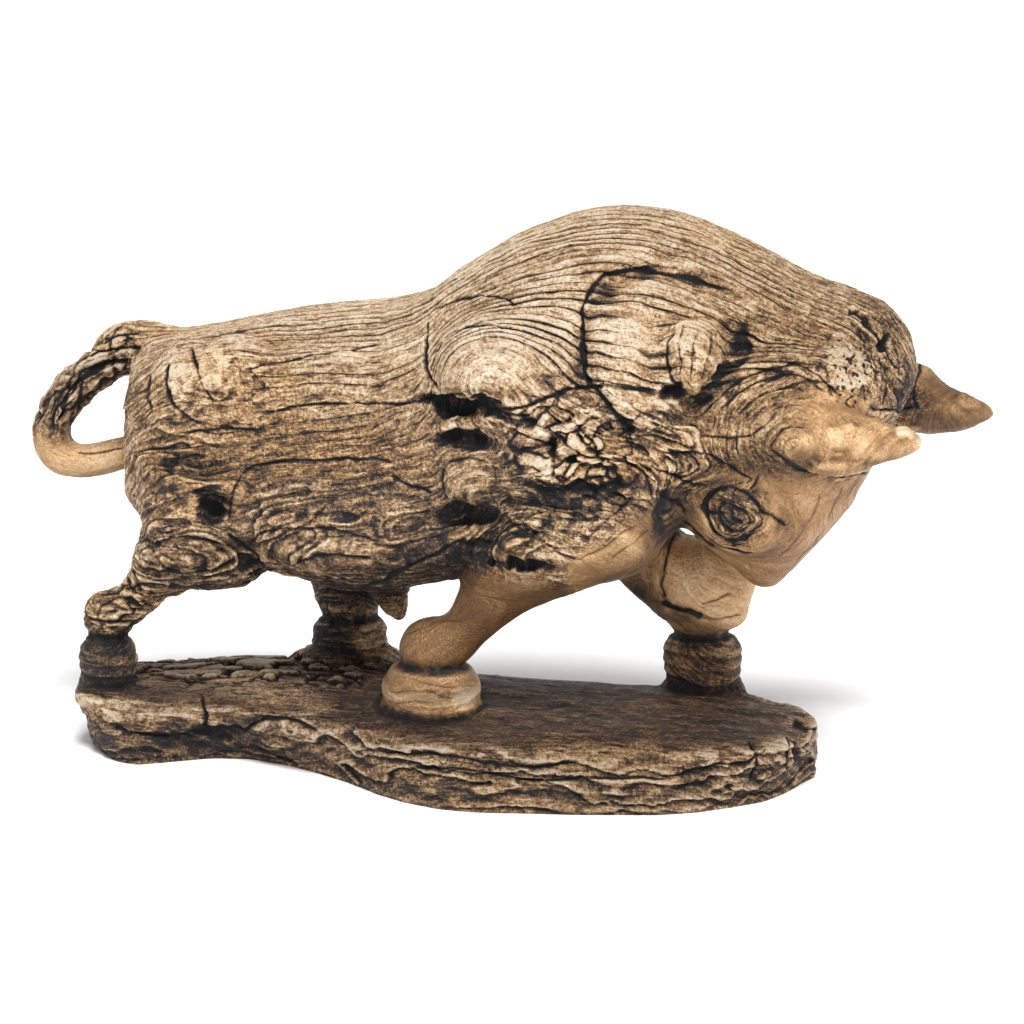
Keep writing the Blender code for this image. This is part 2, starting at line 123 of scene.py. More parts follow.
def seen(p):
    """Where the camera sees a place, in pixels from the picture's upper left corner."""
    d = p - TARGET - AWAY * DISTANCE
    depth = -(d @ AWAY)
    scale = DISTANCE / (PIXEL * depth)
    return np.stack([MIDDLE[0] + (d @ RIGHT) * scale, MIDDLE[1] - (d @ UP) * scale], 1)


def oval(s, x, y, a, b, tilt=0.0, power=2.0):
    """1 inside an oval of the camera's view, 0 well outside it; the tilt is in degrees, down to the right."""
    c, n = math.cos(math.radians(tilt)), math.sin(math.radians(tilt))
    u, v = s[:, 0] - x, s[:, 1] - y
    return np.exp(-(((u * c + v * n) / a) ** 2 + ((v * c - u * n) / b) ** 2) ** power)


def marked(view, rows, power, join=np.maximum):
    """The ovals of a table's rows together, each as strong as its row's last value."""
    total = np.zeros(len(view))
    for x, y, a, b, tilt, size in rows:
        total = join(total, size * oval(view, x, y, a, b, tilt, power))
    return total


def to_path(p, path):
    """Least distance to a path of straight pieces, how far along it that is, the offset and the way it runs there."""
    least = np.full(len(p), 1e9)
    along = np.zeros(len(p))
    offset = np.zeros_like(p)
    way = np.zeros_like(p)
    pieces = len(path) - 1
    for n, (start, end) in enumerate(zip(path[:-1], path[1:])):
        a = np.array(start, float)
        d = np.array(end, float) - a
        t = np.clip(((p - a) @ d) / (d @ d), 0, 1)
        out = p - a - t[:, None] * d
        gap = np.linalg.norm(out, axis=1)
        nearer = gap < least
        least = np.where(nearer, gap, least)
        along = np.where(nearer, (n + t) / pieces, along)
        offset[nearer] = out[nearer]
        way[nearer] = d
    return least, along, offset, way


def rounded(path):
    """The path with its corners cut twice."""
    p = np.array(path, float)
    for _ in range(2):
        a, b = p[:-1], p[1:]
        cut = np.stack([0.75 * a + 0.25 * b, 0.25 * a + 0.75 * b], 1).reshape(-1, p.shape[1])
        p = np.concatenate([p[:1], cut, p[-1:]])
    return p


def blocks(p, size, seed):
    """Broken blocks: how far a place is from its block's edge, in block sizes, and the block's own level, -1 to 1."""
    q = p / np.asarray(size, float)
    i = np.floor(q).astype(np.int64)
    first, second, level = np.full(len(p), 9.0), np.full(len(p), 9.0), np.zeros(len(p))
    for step in np.ndindex(3, 3, 3):
        c = i + np.array(step) - 1
        h = [lattice(c[:, 0], c[:, 1], c[:, 2], seed + n) for n in range(4)]
        away = np.sqrt(sum((c[:, n] + 0.5 + 0.45 * h[n] - q[:, n]) ** 2 for n in range(3)))
        closer = away < first
        second = np.where(closer, first, np.minimum(second, away))
        level = np.where(closer, h[3], level)
        first = np.where(closer, away, first)
    return second - first, level


# The skin: the solid's own form, made fine and smooth.

def fine_skin():
    """The solid's mesh, rounded but for the edge of its flat underside, and with even cells."""
    mesh = NODE.data.copy()
    form = bmesh.new()
    form.from_mesh(mesh)
    bmesh.ops.remove_doubles(form, verts=form.verts[:], dist=1e-5)
    fold = form.edges.layers.float.new("crease_edge")
    for edge in form.edges:
        ways = [face.normal.z for face in edge.link_faces]
        if min(ways) < -0.99 < max(ways) - 0.05:
            edge[fold] = 1.0
    form.to_mesh(mesh)
    form.free()
    made = bpy.data.objects.new("bull", mesh)
    bpy.context.scene.collection.objects.link(made)
    step = made.modifiers.new("round", "SUBSURF")
    step.levels = step.render_levels = 2
    step = made.modifiers.new("even", "REMESH")
    step.mode = "VOXEL"
    step.voxel_size = CELL * 1.0
    settle(made)
    return made


def settle(made):
    """Gives the object the mesh that its modifiers make."""
    graph = bpy.context.evaluated_depsgraph_get()
    mesh = bpy.data.meshes.new_from_object(made.evaluated_get(graph), depsgraph=graph)
    old = made.data
    made.modifiers.clear()
    made.data = mesh
    bpy.data.meshes.remove(old)


class Skin:
    """A mesh's points with quick smoothing over its edges."""

    def __init__(self, mesh):
        self.mesh = mesh
        count = len(mesh.vertices)
        flat = np.empty(count * 3, np.float32)
        mesh.vertices.foreach_get("co", flat)
        self.p = flat.reshape(-1, 3).astype(np.float64) * 1000 - SHIFT
        edges = np.empty(len(mesh.edges) * 2, np.int32)
        mesh.edges.foreach_get("vertices", edges)
        self.a, self.b = edges.reshape(-1, 2).T
        self.links = np.maximum(np.bincount(self.a, minlength=count) + np.bincount(self.b, minlength=count), 1)

    def spread(self, value, times):
        """The value smoothed over neighbouring points."""
        many, count = value.ndim > 1, len(value)
        columns = list(value.T) if many else [value]
        for n, column in enumerate(columns):
            for _ in range(times):
                around = np.bincount(self.a, column[self.b], count) + np.bincount(self.b, column[self.a], count)
                column = 0.5 * column + 0.5 * around / self.links
            columns[n] = column
        return np.stack(columns, 1) if many else columns[0]

    def soften(self, weight, times):
        """Smooths the form itself where the weight isn't 0."""
        at = np.flatnonzero(weight > 0.01)
        place = np.full(len(self.p), -1)
        place[at] = np.arange(len(at))
        a, b = place[self.a], place[self.b]
        both = (a >= 0) & (b >= 0)
        a, b = a[both], b[both]
        q, share = self.p[at], weight[at][:, None] * 0.6
        links = np.maximum(np.bincount(a, minlength=len(at)) + np.bincount(b, minlength=len(at)), 1)[:, None]
        for _ in range(times):
            around = [np.bincount(a, q[b, n], len(at)) + np.bincount(b, q[a, n], len(at)) for n in range(3)]
            q = q + share * (np.stack(around, 1) / links - q)
        self.p[at] = q

    def store(self):
        """Moves the mesh to the points."""
        self.mesh.vertices.foreach_set("co", ((self.p + SHIFT) / 1000).astype(np.float32).reshape(-1))
        self.mesh.update()

    def normals(self):
        self.store()
        flat = np.empty(len(self.p) * 3, np.float32)
        self.mesh.vertices.foreach_get("normal", flat)
        return flat.reshape(-1, 3).astype(np.float64)


# The layout of the carving. Places are along, across and height from the body's middle.

BACK_LINE = [(-150, 150), (-118, 154.5), (-82, 162.5), (-42, 168.3), (-18, 180.5), (-4, 189.6), (10, 197.4),
             (24, 202.6), (36, 204.6), (48, 204.4), (64, 200), (78, 193.6), (92, 186.4), (106, 180), (118, 176),
             (130, 168), (140, 150)]
BELLY_LINE = [(-150, 150), (-100, 153), (-50, 160), (0, 171), (50, 179), (100, 173), (150, 150)]
TAIL = [(-126, 0, 147), (-139, 0, 149.2), (-148.5, 0, 142), (-159, 0, 134), (-167.5, 0, 126), (-172.6, 0, 115),
        (-171.3, 0, 106.6), (-162.5, 0, 103.6), (-151, 0, 106), (-141, 0, 109.5), (-130, 0, 111)]
NEAR_HORN = [(97, -34, 136.5), (108, -38, 135.5), (118, -40, 134), (128, -41.5, 133), (136, -43, 133.5),
             (147, -46, 136.3)]
FAR_HORN = [(122, 32, 137), (134, 35, 133), (141, 36, 130), (149, 37.5, 128.2), (156, 39, 128.2), (165, 41.2, 127)]
NEAR_LEG = [(12, -27, 79.5), (-3, -26, 66), (-13, -24, 56.5), (-21, -22.5, 50), (-26, -21.5, 40)]
TAIL_LENGTH, TAIL_RADIUS = 130, 8                  # of the ground on which its strips are laid out
CHEST_FOLD = (57, -25, 85, 15, 15, 12)             # a crease smoothed away: its middle and half sizes
BOSS = (0, -44, 149, 18, 20, 13)                   # the shoulder's knot, its lines weak, the same way
CHEEK_KNOT = (83.5, -34, 103.5, 11, 24, 12)        # the cheek's knot, not smooth, the same way
CHEEK_RINGS, HORN_ROOT = (83.5, 104), (106, 131)   # the middles of the rings there: along, height

# Hooves: along, across, height of the upper edge, reach. The near fore hoof comes first.
HOOVES = [(-26.5, -22, 41.0, 17.5), (62.6, 26.5, 44.0, 15.0), (-148.8, -14, 42.0, 12.5), (-68.2, 24, 43.5, 13.5)]
NEAR_HOOF = HOOVES[0]

# Hollows of the near side, as the camera sees them: right, down, half sizes, tilt, depth in millimetres.
HOLLOWS = [
    (462, 405, 38, 8, 6, 4.0), (488, 412, 16, 6, 20, 3.0), (459, 440, 24, 8, 2, 3.4), (468, 516, 24, 9, 4, 3.2),
    (212, 507, 14, 14, 0, 4.0), (205, 495, 10, 8, 0, 2.5), (168, 462, 9, 12, 30, 1.4), (671, 392, 12, 9, 0, 4.0),
    (740, 344, 9, 20, 22, 1.8), (722, 374, 8, 24, 38, 2.0), (704, 396, 7, 12, 40, 2.0), (588, 491, 32, 7, -8, 2.4),
    (552, 494, 14, 6, 20, 1.8), (478, 543, 18, 6, 0, 1.8), (522, 535, 18, 4, 5, 1.4), (525, 566, 28, 4.5, 6, 1.8),
    (530, 421, 7, 6, 20, 2.0), (552, 448, 5, 9, -30, 1.6), (572, 462, 9, 5, 30, 1.4), (628, 432, 8, 10, -20, 1.4),
    (885, 343, 4, 7, -15, 2.6), (866, 321, 3.5, 7, -35, 1.6), (856, 308, 4, 4, 0, 1.4), (662, 513, 8, 24, 10, 1.6),
    (218, 734, 26, 6, 2, 2.4), (692, 776, 18, 14, 10, 1.6), (250, 565, 16, 8, 30, 1.4), (97, 372, 18, 4, -30, 1.4),
    (580, 537, 5, 4, 0, 1.4), (796, 752, 4, 14, -10, 1.8),
]

# Lumps that stand out there, the same way, with their height.
LUMPS = [
    (696, 341, 28, 20, 4, 1.7), (700, 366, 21, 22, 8, 1.9), (470, 481, 25, 20, 0, 1.6), (532, 432, 15, 12, 0, 1.4),
    (588, 440, 32, 30, 30, 1.0), (537, 466, 17, 14, 0, 1.2), (180, 388, 12, 24, 10, 1.0),
    (214, 372, 16, 26, -10, 1.1), (848, 372, 26, 24, 0, 0.7), (310, 553, 55, 14, 2, 0.8), (408, 570, 40, 9, -24, 1.2),
    (170, 556, 40, 11, 5, 0.9), (734, 515, 34, 34, 0, 0.4), (530, 512, 34, 9, 4, 0.8), (520, 552, 34, 7, 6, 0.8),
    (632, 342, 26, 38, 0, 0.7), (905, 432, 12, 9, 10, 1.2), (850, 442, 26, 18, 10, 1.2), (835, 468, 26, 9, 0, 1.4),
    (970, 404, 12, 6, 10, 0.8), (284, 731, 36, 12, 3, 1.4), (775, 752, 12, 18, 0, 0.8), (790, 440, 14, 18, 0, 0.5),
]

# Broken ground there, the same way, with its strength.
CRAGS = [
    (576, 448, 64, 50, 25, 1.15), (530, 440, 27, 36, 0, 0.95), (640, 430, 30, 34, 30, 0.4),
    (545, 520, 46, 22, 0, 0.4), (248, 380, 30, 30, 0, 0.3), (330, 600, 36, 30, 0, 0.3), (550, 390, 24, 20, 0, 0.5),
    (118, 606, 34, 22, -30, 0.7), (150, 560, 40, 20, 10, 0.4),
]

# Faces there on which the grain lines hardly show, the same way.
CALM = [
    (632, 345, 27, 42, 0), (697, 350, 29, 40, 5), (490, 372, 46, 32, 0), (205, 378, 44, 40, 0), (470, 481, 26, 22, 0),
    (640, 415, 40, 26, 20), (790, 440, 26, 26, 0), (845, 372, 28, 26, 0),
]

# Splits of the near side, as the camera sees them: half width, depth in millimetres, path.
SPLITS = [
    (2.0, 2.0, [(650, 267), (628, 269), (605, 275), (590, 292), (582, 315), (580, 342), (586, 369), (594, 386)]),
    (2.5, 1.8, [(594, 386), (606, 403), (622, 425), (634, 446)]),
    (2.2, 1.5, [(628, 269), (658, 273), (689, 279), (726, 289)]),
    (1.8, 1.8, [(500, 411), (530, 404), (577, 384), (612, 386), (655, 390)]),
    (1.3, 1.6, [(428, 322), (425, 345), (426, 372), (436, 388)]),
    (0.9, 1.0, [(432, 354), (442, 338), (458, 329), (493, 321), (516, 329)]),
    (1.0, 1.2, [(432, 311), (450, 301), (470, 296), (496, 297), (516, 305)]),
    (1.0, 1.5, [(261, 413), (322, 405), (399, 403), (447, 397)]),
    (1.0, 1.2, [(245, 370), (303, 357), (380, 345)]),
    (1.0, 1.4, [(178, 434), (222, 428), (259, 430)]),
    (1.7, 1.8, [(193, 347), (196, 366), (202, 382), (213, 400)]),
    (1.7, 1.8, [(170, 362), (166, 384), (170, 402), (185, 416), (203, 423)]),
    (1.2, 1.2, [(150, 374), (146, 392), (152, 408)]),
    (1.3, 1.4, [(243, 476), (262, 464), (292, 460), (353, 459), (395, 463)]),
    (0.8, 0.8, [(230, 520), (231, 498), (243, 476)]),
    (1.1, 1.2, [(391, 476), (412, 486), (432, 494)]),
    (1.0, 1.1, [(250, 545), (262, 531), (300, 526), (340, 529), (376, 540)]),
    (1.0, 1.1, [(284, 568), (300, 556), (340, 552), (370, 560)]),
    (1.2, 1.2, [(262, 560), (240, 545), (226, 530)]),
    (1.7, 1.8, [(361, 590), (392, 573), (422, 560), (452, 545)]),
    (1.0, 1.0, [(150, 545), (170, 536), (200, 536), (228, 548)]),
    (1.0, 1.0, [(145, 566), (172, 572), (205, 572), (235, 562)]),
    (1.0, 1.0, [(120, 590), (150, 583), (190, 588), (225, 585)]),
    (0.9, 0.8, [(612, 456), (634, 466), (650, 484), (652, 500)]),
    (0.5, 0.3, [(610, 560), (632, 545), (654, 522)]),
    (0.5, 0.3, [(598, 548), (612, 538), (622, 526)]),
    (0.9, 0.9, [(540, 540), (556, 549), (575, 561)]),
    (0.9, 0.8, [(585, 540), (605, 520), (630, 498)]),
    (0.6, 0.4, [(574, 562), (600, 552), (636, 524)]),
    (0.8, 0.8, [(447, 462), (470, 457), (492, 463), (497, 480)]),
    (1.1, 0.9, [(445, 468), (443, 484), (449, 500)]),
    (1.5, 1.2, [(672, 334), (667, 350), (668, 372), (676, 388)]),
    (1.0, 1.2, [(698, 418), (728, 389), (767, 369), (805, 362), (840, 395)]),
    (0.9, 1.0, [(716, 412), (742, 391), (772, 378), (800, 374), (826, 392)]),
    (0.9, 0.9, [(734, 418), (755, 398), (782, 388), (806, 392)]),
    (0.9, 0.9, [(700, 436), (730, 440), (762, 432), (776, 410)]),
    (0.9, 0.6, [(772, 452), (775, 436), (786, 427), (802, 430)]),
    (0.9, 0.6, [(775, 456), (790, 464), (806, 466)]),
    (0.9, 1.0, [(768, 448), (792, 468), (830, 475), (872, 472)]),
    (1.0, 1.1, [(655, 448), (674, 456), (700, 452), (724, 462), (752, 478)]),
    (1.0, 1.1, [(655, 470), (672, 474), (690, 484), (706, 486)]),
    (1.2, 1.3, [(660, 498), (676, 500), (688, 514)]),
    (2.2, 1.5, [(730, 486), (714, 488), (704, 500), (705, 514), (714, 530), (731, 541), (748, 541), (758, 530)]),
    (1.2, 1.0, [(728, 486), (744, 492), (757, 506), (767, 513)]),
    (1.6, 1.1, [(722, 499), (717, 511), (723, 524), (735, 533)]),
    (1.1, 0.9, [(737, 533), (747, 530), (750, 519), (744, 509), (733, 505)]),
    (1.5, 1.0, [(729, 508), (732, 517), (742, 521)]),
    (1.2, 0.8, [(700, 507), (712, 512), (724, 511)]),
    (1.2, 0.8, [(762, 511), (774, 515), (785, 523)]),
    (1.0, 0.8, [(748, 489), (756, 482), (760, 474)]),
    (1.9, 1.5, [(683, 522), (700, 539), (722, 550), (752, 555)]),
    (0.6, 0.25, [(842, 487), (826, 530), (790, 566)]),
    (0.6, 0.2, [(822, 492), (806, 530), (776, 558)]),
    (0.9, 1.0, [(855, 308), (871, 328), (888, 350), (896, 368)]),
    (0.9, 0.8, [(882, 356), (886, 380), (882, 404)]),
    (0.9, 0.7, [(871, 348), (876, 362), (873, 384)]),
    (0.8, 0.6, [(892, 338), (899, 352), (901, 374)]),
    (0.8, 0.6, [(862, 334), (866, 346), (863, 356)]),
    (0.9, 0.8, [(896, 380), (894, 396), (900, 410)]),
    (1.1, 1.2, [(870, 408), (890, 412), (912, 408)]),
    (1.3, 1.4, [(916, 356), (920, 372), (914, 392), (918, 410)]),
    (0.5, 0.2, [(428, 622), (445, 620), (464, 624)]),
    (0.5, 0.2, [(398, 642), (408, 631), (426, 627)]),
    (0.45, 0.3, [(392, 694), (420, 690), (446, 694), (470, 692)]),
    (0.45, 0.3, [(400, 680), (428, 683), (452, 688), (472, 686)]),
    (0.9, 0.8, [(678, 534), (667, 556), (661, 580), (665, 600)]),
    (2.2, 1.3, [(662, 604), (676, 610), (690, 611), (703, 616)]),
    (0.6, 0.4, [(700, 602), (716, 600), (731, 592)]),
    (0.6, 0.4, [(702, 617), (720, 620), (742, 616)]),
    (1.3, 1.6, [(246, 733), (256, 722), (270, 717), (298, 719), (320, 731)]),
    (1.2, 1.5, [(200, 694), (206, 712), (204, 732)]),
    (1.4, 1.6, [(112, 728), (150, 736), (192, 738)]),
    (1.2, 1.4, [(407, 765), (470, 768), (540, 782), (600, 776), (670, 780)]),
    (1.0, 1.2, [(380, 752), (440, 752), (520, 768), (580, 762)]),
    (1.7, 1.8, [(700, 772), (716, 762), (740, 766), (764, 752)]),
    (1.2, 1.6, [(752, 780), (758, 756), (750, 742)]),
    (1.1, 1.6, [(786, 738), (790, 756), (784, 776)]),
    (1.7, 2.2, [(794, 722), (806, 728), (820, 732)]),
    (1.8, 1.8, [(84, 360), (102, 351), (120, 347), (140, 346)]),
    (2.0, 2.0, [(70, 392), (82, 375), (100, 364), (128, 360)]),
    (1.4, 1.2, [(96, 344), (116, 334), (140, 332)]),
    (1.5, 1.4, [(60, 418), (66, 402), (78, 388)]),
    (1.0, 0.8, [(52, 430), (56, 410), (64, 394)]),
    (0.8, 0.6, [(78, 452), (100, 452), (122, 446)]),
    (0.9, 0.7, [(683, 328), (679, 350), (682, 378)]),
    (0.8, 0.6, [(695, 332), (692, 352), (690, 380)]),
    (0.7, 0.5, [(707, 334), (705, 354), (698, 378)]),
    (0.45, 0.3, [(398, 704), (430, 701), (462, 698)]),
    (0.6, 0.4, [(430, 690), (440, 696), (452, 697)]),
]

# The same for the far side, plainer: half width, depth, path of along and height, in millimetres.
FAR_SPLITS = [
    (1.5, 1.6, [(-84, 150), (-86, 128), (-84, 107), (-92, 82)]),
    (1.7, 2.2, [(54, 188), (38, 176), (32, 160), (38, 140), (46, 124)]),
    (1.4, 1.6, [(-22, 168), (-26, 150), (-14, 136), (8, 132)]),
    (1.1, 1.4, [(-110, 136), (-70, 139), (-28, 138)]),
    (1.3, 1.5, [(6, 74), (-2, 90), (12, 106), (34, 104), (48, 116)]),
    (1.5, 1.8, [(62, 134), (84, 136), (98, 146), (110, 146)]),
    (1.6, 1.6, [(74, 168), (82, 160), (74, 146)]),
    (1.4, 1.4, [(-120, 146), (-112, 136), (-118, 124)]),
]

# Torn, stepped wood: along, across, height, half sizes, how strong.
TORN = [
    (66, -44, 120, 16, 18, 20, 0.9), (-60, -44, 98, 40, 20, 14, 0.5), (34, -44, 124, 24, 18, 22, 0.9),
    (10, -40, 92, 22, 16, 14, 0.9), (-106, -34, 134, 24, 18, 24, 0.5), (-112, -22, 84, 34, 24, 26, 0.9),
    (-138, -14, 60, 24, 18, 18, 1.1), (66, -42, 150, 14, 14, 24, 0.5), (-66, -40, 78, 44, 26, 16, 0.8),
    (120, -16, 158, 18, 24, 20, 0.5), (-118, -30, 112, 16, 18, 16, 0.6), (0, -46, 140, 20, 12, 10, 0.5),
    (34, 44, 124, 26, 18, 24, 0.9), (-110, 30, 120, 30, 18, 34, 0.6),
]

# Stains of the near side, where the black ground shows most, with some painted light among them: a painted shadow, a
# painted glint and a painted highlight, each marked. As the camera sees them: right, down, half sizes, tilt, how
# strong. Where that is under 0, the bronze is brighter.
STAINS_AND_PAINTED_LIGHT = [
    (588, 492, 46, 14, -8, 2.2), (478, 520, 44, 26, 5, 0.6), (476, 560, 26, 26, 0, 0.7), (168, 466, 24, 28, 20, 0.9),
    (214, 500, 28, 30, 0, 0.8), (738, 345, 22, 34, 25, 1.1), (718, 380, 16, 34, 40, 1.2), (680, 396, 30, 14, 0, 0.9),
    (584, 335, 9, 58, 0, 2.6), (600, 284, 20, 12, -35, 2.2), (650, 271, 44, 7, 4, 2.2), (705, 282, 32, 7, 10, 2.0),
    (545, 384, 26, 13, -15, 0.8), (300, 480, 90, 16, 0, 0.3), (420, 500, 40, 24, 20, 0.4),
    (230, 440, 60, 14, 0, 0.35), (300, 580, 90, 26, 5, 0.35), (180, 580, 60, 26, 0, 0.35),
    (700, 410, 40, 40, 40, 0.3), (790, 470, 60, 12, 10, 0.4), (620, 590, 50, 16, -20, 0.4),
    (455, 640, 12, 60, 30, 0.2), (606, 400, 34, 18, 30, 0.6), (466, 412, 52, 26, 6, 0.7),
    (556, 390, 32, 18, -20, 0.6), (655, 520, 22, 40, 10, 0.9), (250, 566, 34, 22, 30, 0.8),
    (400, 575, 70, 22, -22, 0.9), (100, 380, 40, 18, -35, 0.8), (60, 412, 22, 30, 0, 0.5),
    (870, 322, 26, 18, 45, 0.6), (898, 400, 26, 16, 0, 0.7), (728, 512, 26, 27, 0, 1.9), (640, 595, 26, 26, 0, 1.0),
    (345, 596, 44, 16, 0, 1.0), (338, 655, 30, 24, 10, 0.9), (108, 640, 30, 14, 0, 0.8), (434, 672, 34, 9, 0, 0.6),
    (700, 634, 36, 8, 0, 0.7), (300, 470, 60, 6, 0, 0.3), (330, 500, 90, 30, 0, 0.25), (560, 440, 60, 40, 20, 0.25),
    (668, 430, 30, 30, 0, 0.4), (105, 610, 30, 16, -30, 0.4), (680, 690, 24, 10, 0, 0.7), (118, 685, 30, 14, 0, 0.6),
    (150, 745, 90, 18, 0, 0.5), (170, 700, 46, 12, 0, 0.5), (760, 760, 60, 14, 5, 0.5), (640, 745, 60, 6, 0, -0.6),
    (480, 745, 120, 9, 3, -0.5), (280, 706, 60, 12, 6, -0.7), (110, 712, 36, 7, 0, -0.7), (284, 730, 34, 9, 0, -0.6),
    (775, 755, 14, 14, 0, -0.8), (232, 668, 90, 8, -5, -0.6), (366, 635, 13, 16, 0, -2.4),
    # (728, 652): a painted glint on the right of the far fore hoof.
    (728, 652, 10, 16, 0, -1.2), (690, 660, 30, 26, 0, 0.8), (846, 370, 28, 28, 0, -2.8), (490, 368, 45, 30, 0, -0.7),
    (698, 338, 24, 18, 0, -0.6), (632, 340, 26, 36, 0, -0.6), (112, 656, 30, 28, 0, 2.0), (98, 642, 14, 6, -20, -1.2),
    (336, 640, 18, 22, 0, 1.8), (180, 742, 110, 22, 0, 1.2), (110, 712, 40, 6, 0, -1.0), (574, 446, 54, 32, 25, -0.9),
    (530, 432, 20, 16, 0, -1.0), (540, 466, 20, 13, 0, -0.9), (470, 480, 22, 16, 0, -0.6),
    (190, 375, 40, 34, 0, -0.5), (860, 320, 40, 20, 35, -0.3), (470, 602, 30, 20, -30, 0.5),
    (960, 400, 40, 30, 0, 0.7), (910, 385, 10, 30, 0, 1.8), (400, 700, 14, 26, 0, 0.3), (240, 666, 90, 7, -5, -1.2),
    # (694, 568): a painted highlight on the far fore knee.
    (320, 430, 120, 30, 0, -0.3), (694, 568, 28, 32, 0, -1.0), (680, 612, 20, 6, 8, 1.5), (516, 452, 12, 36, 0, 1.2),
    (645, 456, 26, 20, 30, 1.2), (488, 553, 22, 14, 10, 2.2), (671, 524, 13, 34, 15, 2.4), (548, 500, 30, 9, 10, 1.2),
    # (450, 540): a painted shadow between two hollows.
    (585, 514, 24, 8, 20, 1.0), (450, 540, 24, 8, 0, 0.8), (536, 452, 7, 26, -30, 0.9), (566, 482, 46, 5, 6, 1.4),
    (668, 360, 7, 30, 0, 1.0),
]

# Knots round which the grain bends: along, across, height, spread, pull.
KNOTS = [
    (0, -46, 149, 17, 25), (-5, -44, 114, 9, 6), (-105, -36, 140, 14, 6), (30, -42, 128, 18, 8), (10, -40, 93, 14, 9),
    (0, 44, 150, 20, 22), (-70, 42, 110, 26, 12), (-106, 34, 132, 18, 14), (40, 42, 120, 20, 14),
]

# How much more bronze each part keeps, and how much darker its bronze is.
MORE_BRONZE = {"smooth": 0.22, "leg": -0.24, "horn": -0.24, "top": -0.30, "plinth": -0.24, "hoof": 0.18,
               "worn": -0.50, "cheek": -0.16, "bulge": -0.14}
DARKER = {"leg": 0.58, "worn": 0.15, "bulge": 0.24, "horn": 0.10, "plinth": 0.36, "head": 0.08, "tail": 0.25,
          "top": 0.42}


def kinds(p):
    """How far a place belongs to each part of the work, from 0 to 1, and where on the tail it lies, in millimetres."""
    x, y, z = p.T
    hoof = np.zeros(len(p))
    for hx, hy, top, reach in HOOVES:
        away = np.hypot(x - hx, y - hy)
        hoof = np.maximum(hoof, ramp(away, reach + 2.5, reach) * ramp(z, top + 3, top) * ramp(z, 25.5, 28.5))
    worn = hoof * (np.hypot(x - NEAR_HOOF[0], y - NEAR_HOOF[1]) > 26)
    plinth = ramp(z, 31.5, 28.0) * (1 - hoof)
    top = plinth * ramp(z, 21.0, 24.0)
    rear = ramp(x, -46, -66) * top * ramp(y, -22, -6)

    tail = ramp(x, -134, -142) * ramp(z, 96, 100)
    tail_run, out, way = to_path(p, TAIL)[1:]
    across = (out[:, 2] * way[:, 0] - out[:, 0] * way[:, 2]) / np.maximum(np.hypot(way[:, 0], way[:, 2]), 1e-6)
    near, near_run = to_path(p, NEAR_HORN)[:2]
    far, far_run = to_path(p, FAR_HORN)[:2]
    horn = np.maximum(ramp(near, 17, 13.5) * ramp(near_run, 0.05, 0.28) * ramp(y, -28, -32),
                      ramp(far, 15, 12) * ramp(far_run, 0.0, 0.2) * ramp(y, 22, 28))
    head = ramp(x + 0.25 * z, 92, 104) * ramp(x, 56, 66)
    jaw = ramp(x - 0.5 * (z - 118), 68, 80) * ramp(z, 126, 116) * ramp(z, 68, 76)
    jaw = jaw * (1 - ball(p, *CHEEK_KNOT, 3.0))

    leg = ramp(to_path(p, NEAR_LEG)[0], 19, 15) * ramp(z, 84, 76) * ramp(y, -2, -8)
    far_leg = ramp(x, 50, 56) * ramp(z, 84, 78) * ramp(z, 28, 31) * (1 - 0.9 * worn)
    chest = ramp(np.abs(x - 44), 22, 10) * ramp(z, 96, 86) * ramp(z, 40, 50)
    bulge = ramp(x, 22, 32) * ramp(x, 70, 60) * ramp(z, 72, 78) * ramp(y, 0, -10)
    bulge = bulge * ramp(z - 0.8 * (x - 31), 94, 84)
    smooth = leg + horn + hoof - 0.8 * worn + jaw + bulge + tail * ramp(z, 118, 108) + far_leg + chest
    smooth = np.clip(smooth, 0, 1)
    cheek = smooth * ramp(x, 66, 76) * ramp(z, 70, 76) * (1 - horn)
    return {"hoof": hoof, "worn": worn, "plinth": plinth, "top": top, "rear": rear, "tail": tail, "horn": horn,
            "head": head, "cheek": cheek, "leg": leg, "bulge": bulge, "smooth": smooth,
            "rough": (1 - smooth) * (1 - plinth), "face": plinth * (1 - top),
            "tail_run": TAIL_LENGTH * tail_run, "tail_turn": TAIL_RADIUS * np.arctan2(out[:, 1], across)}


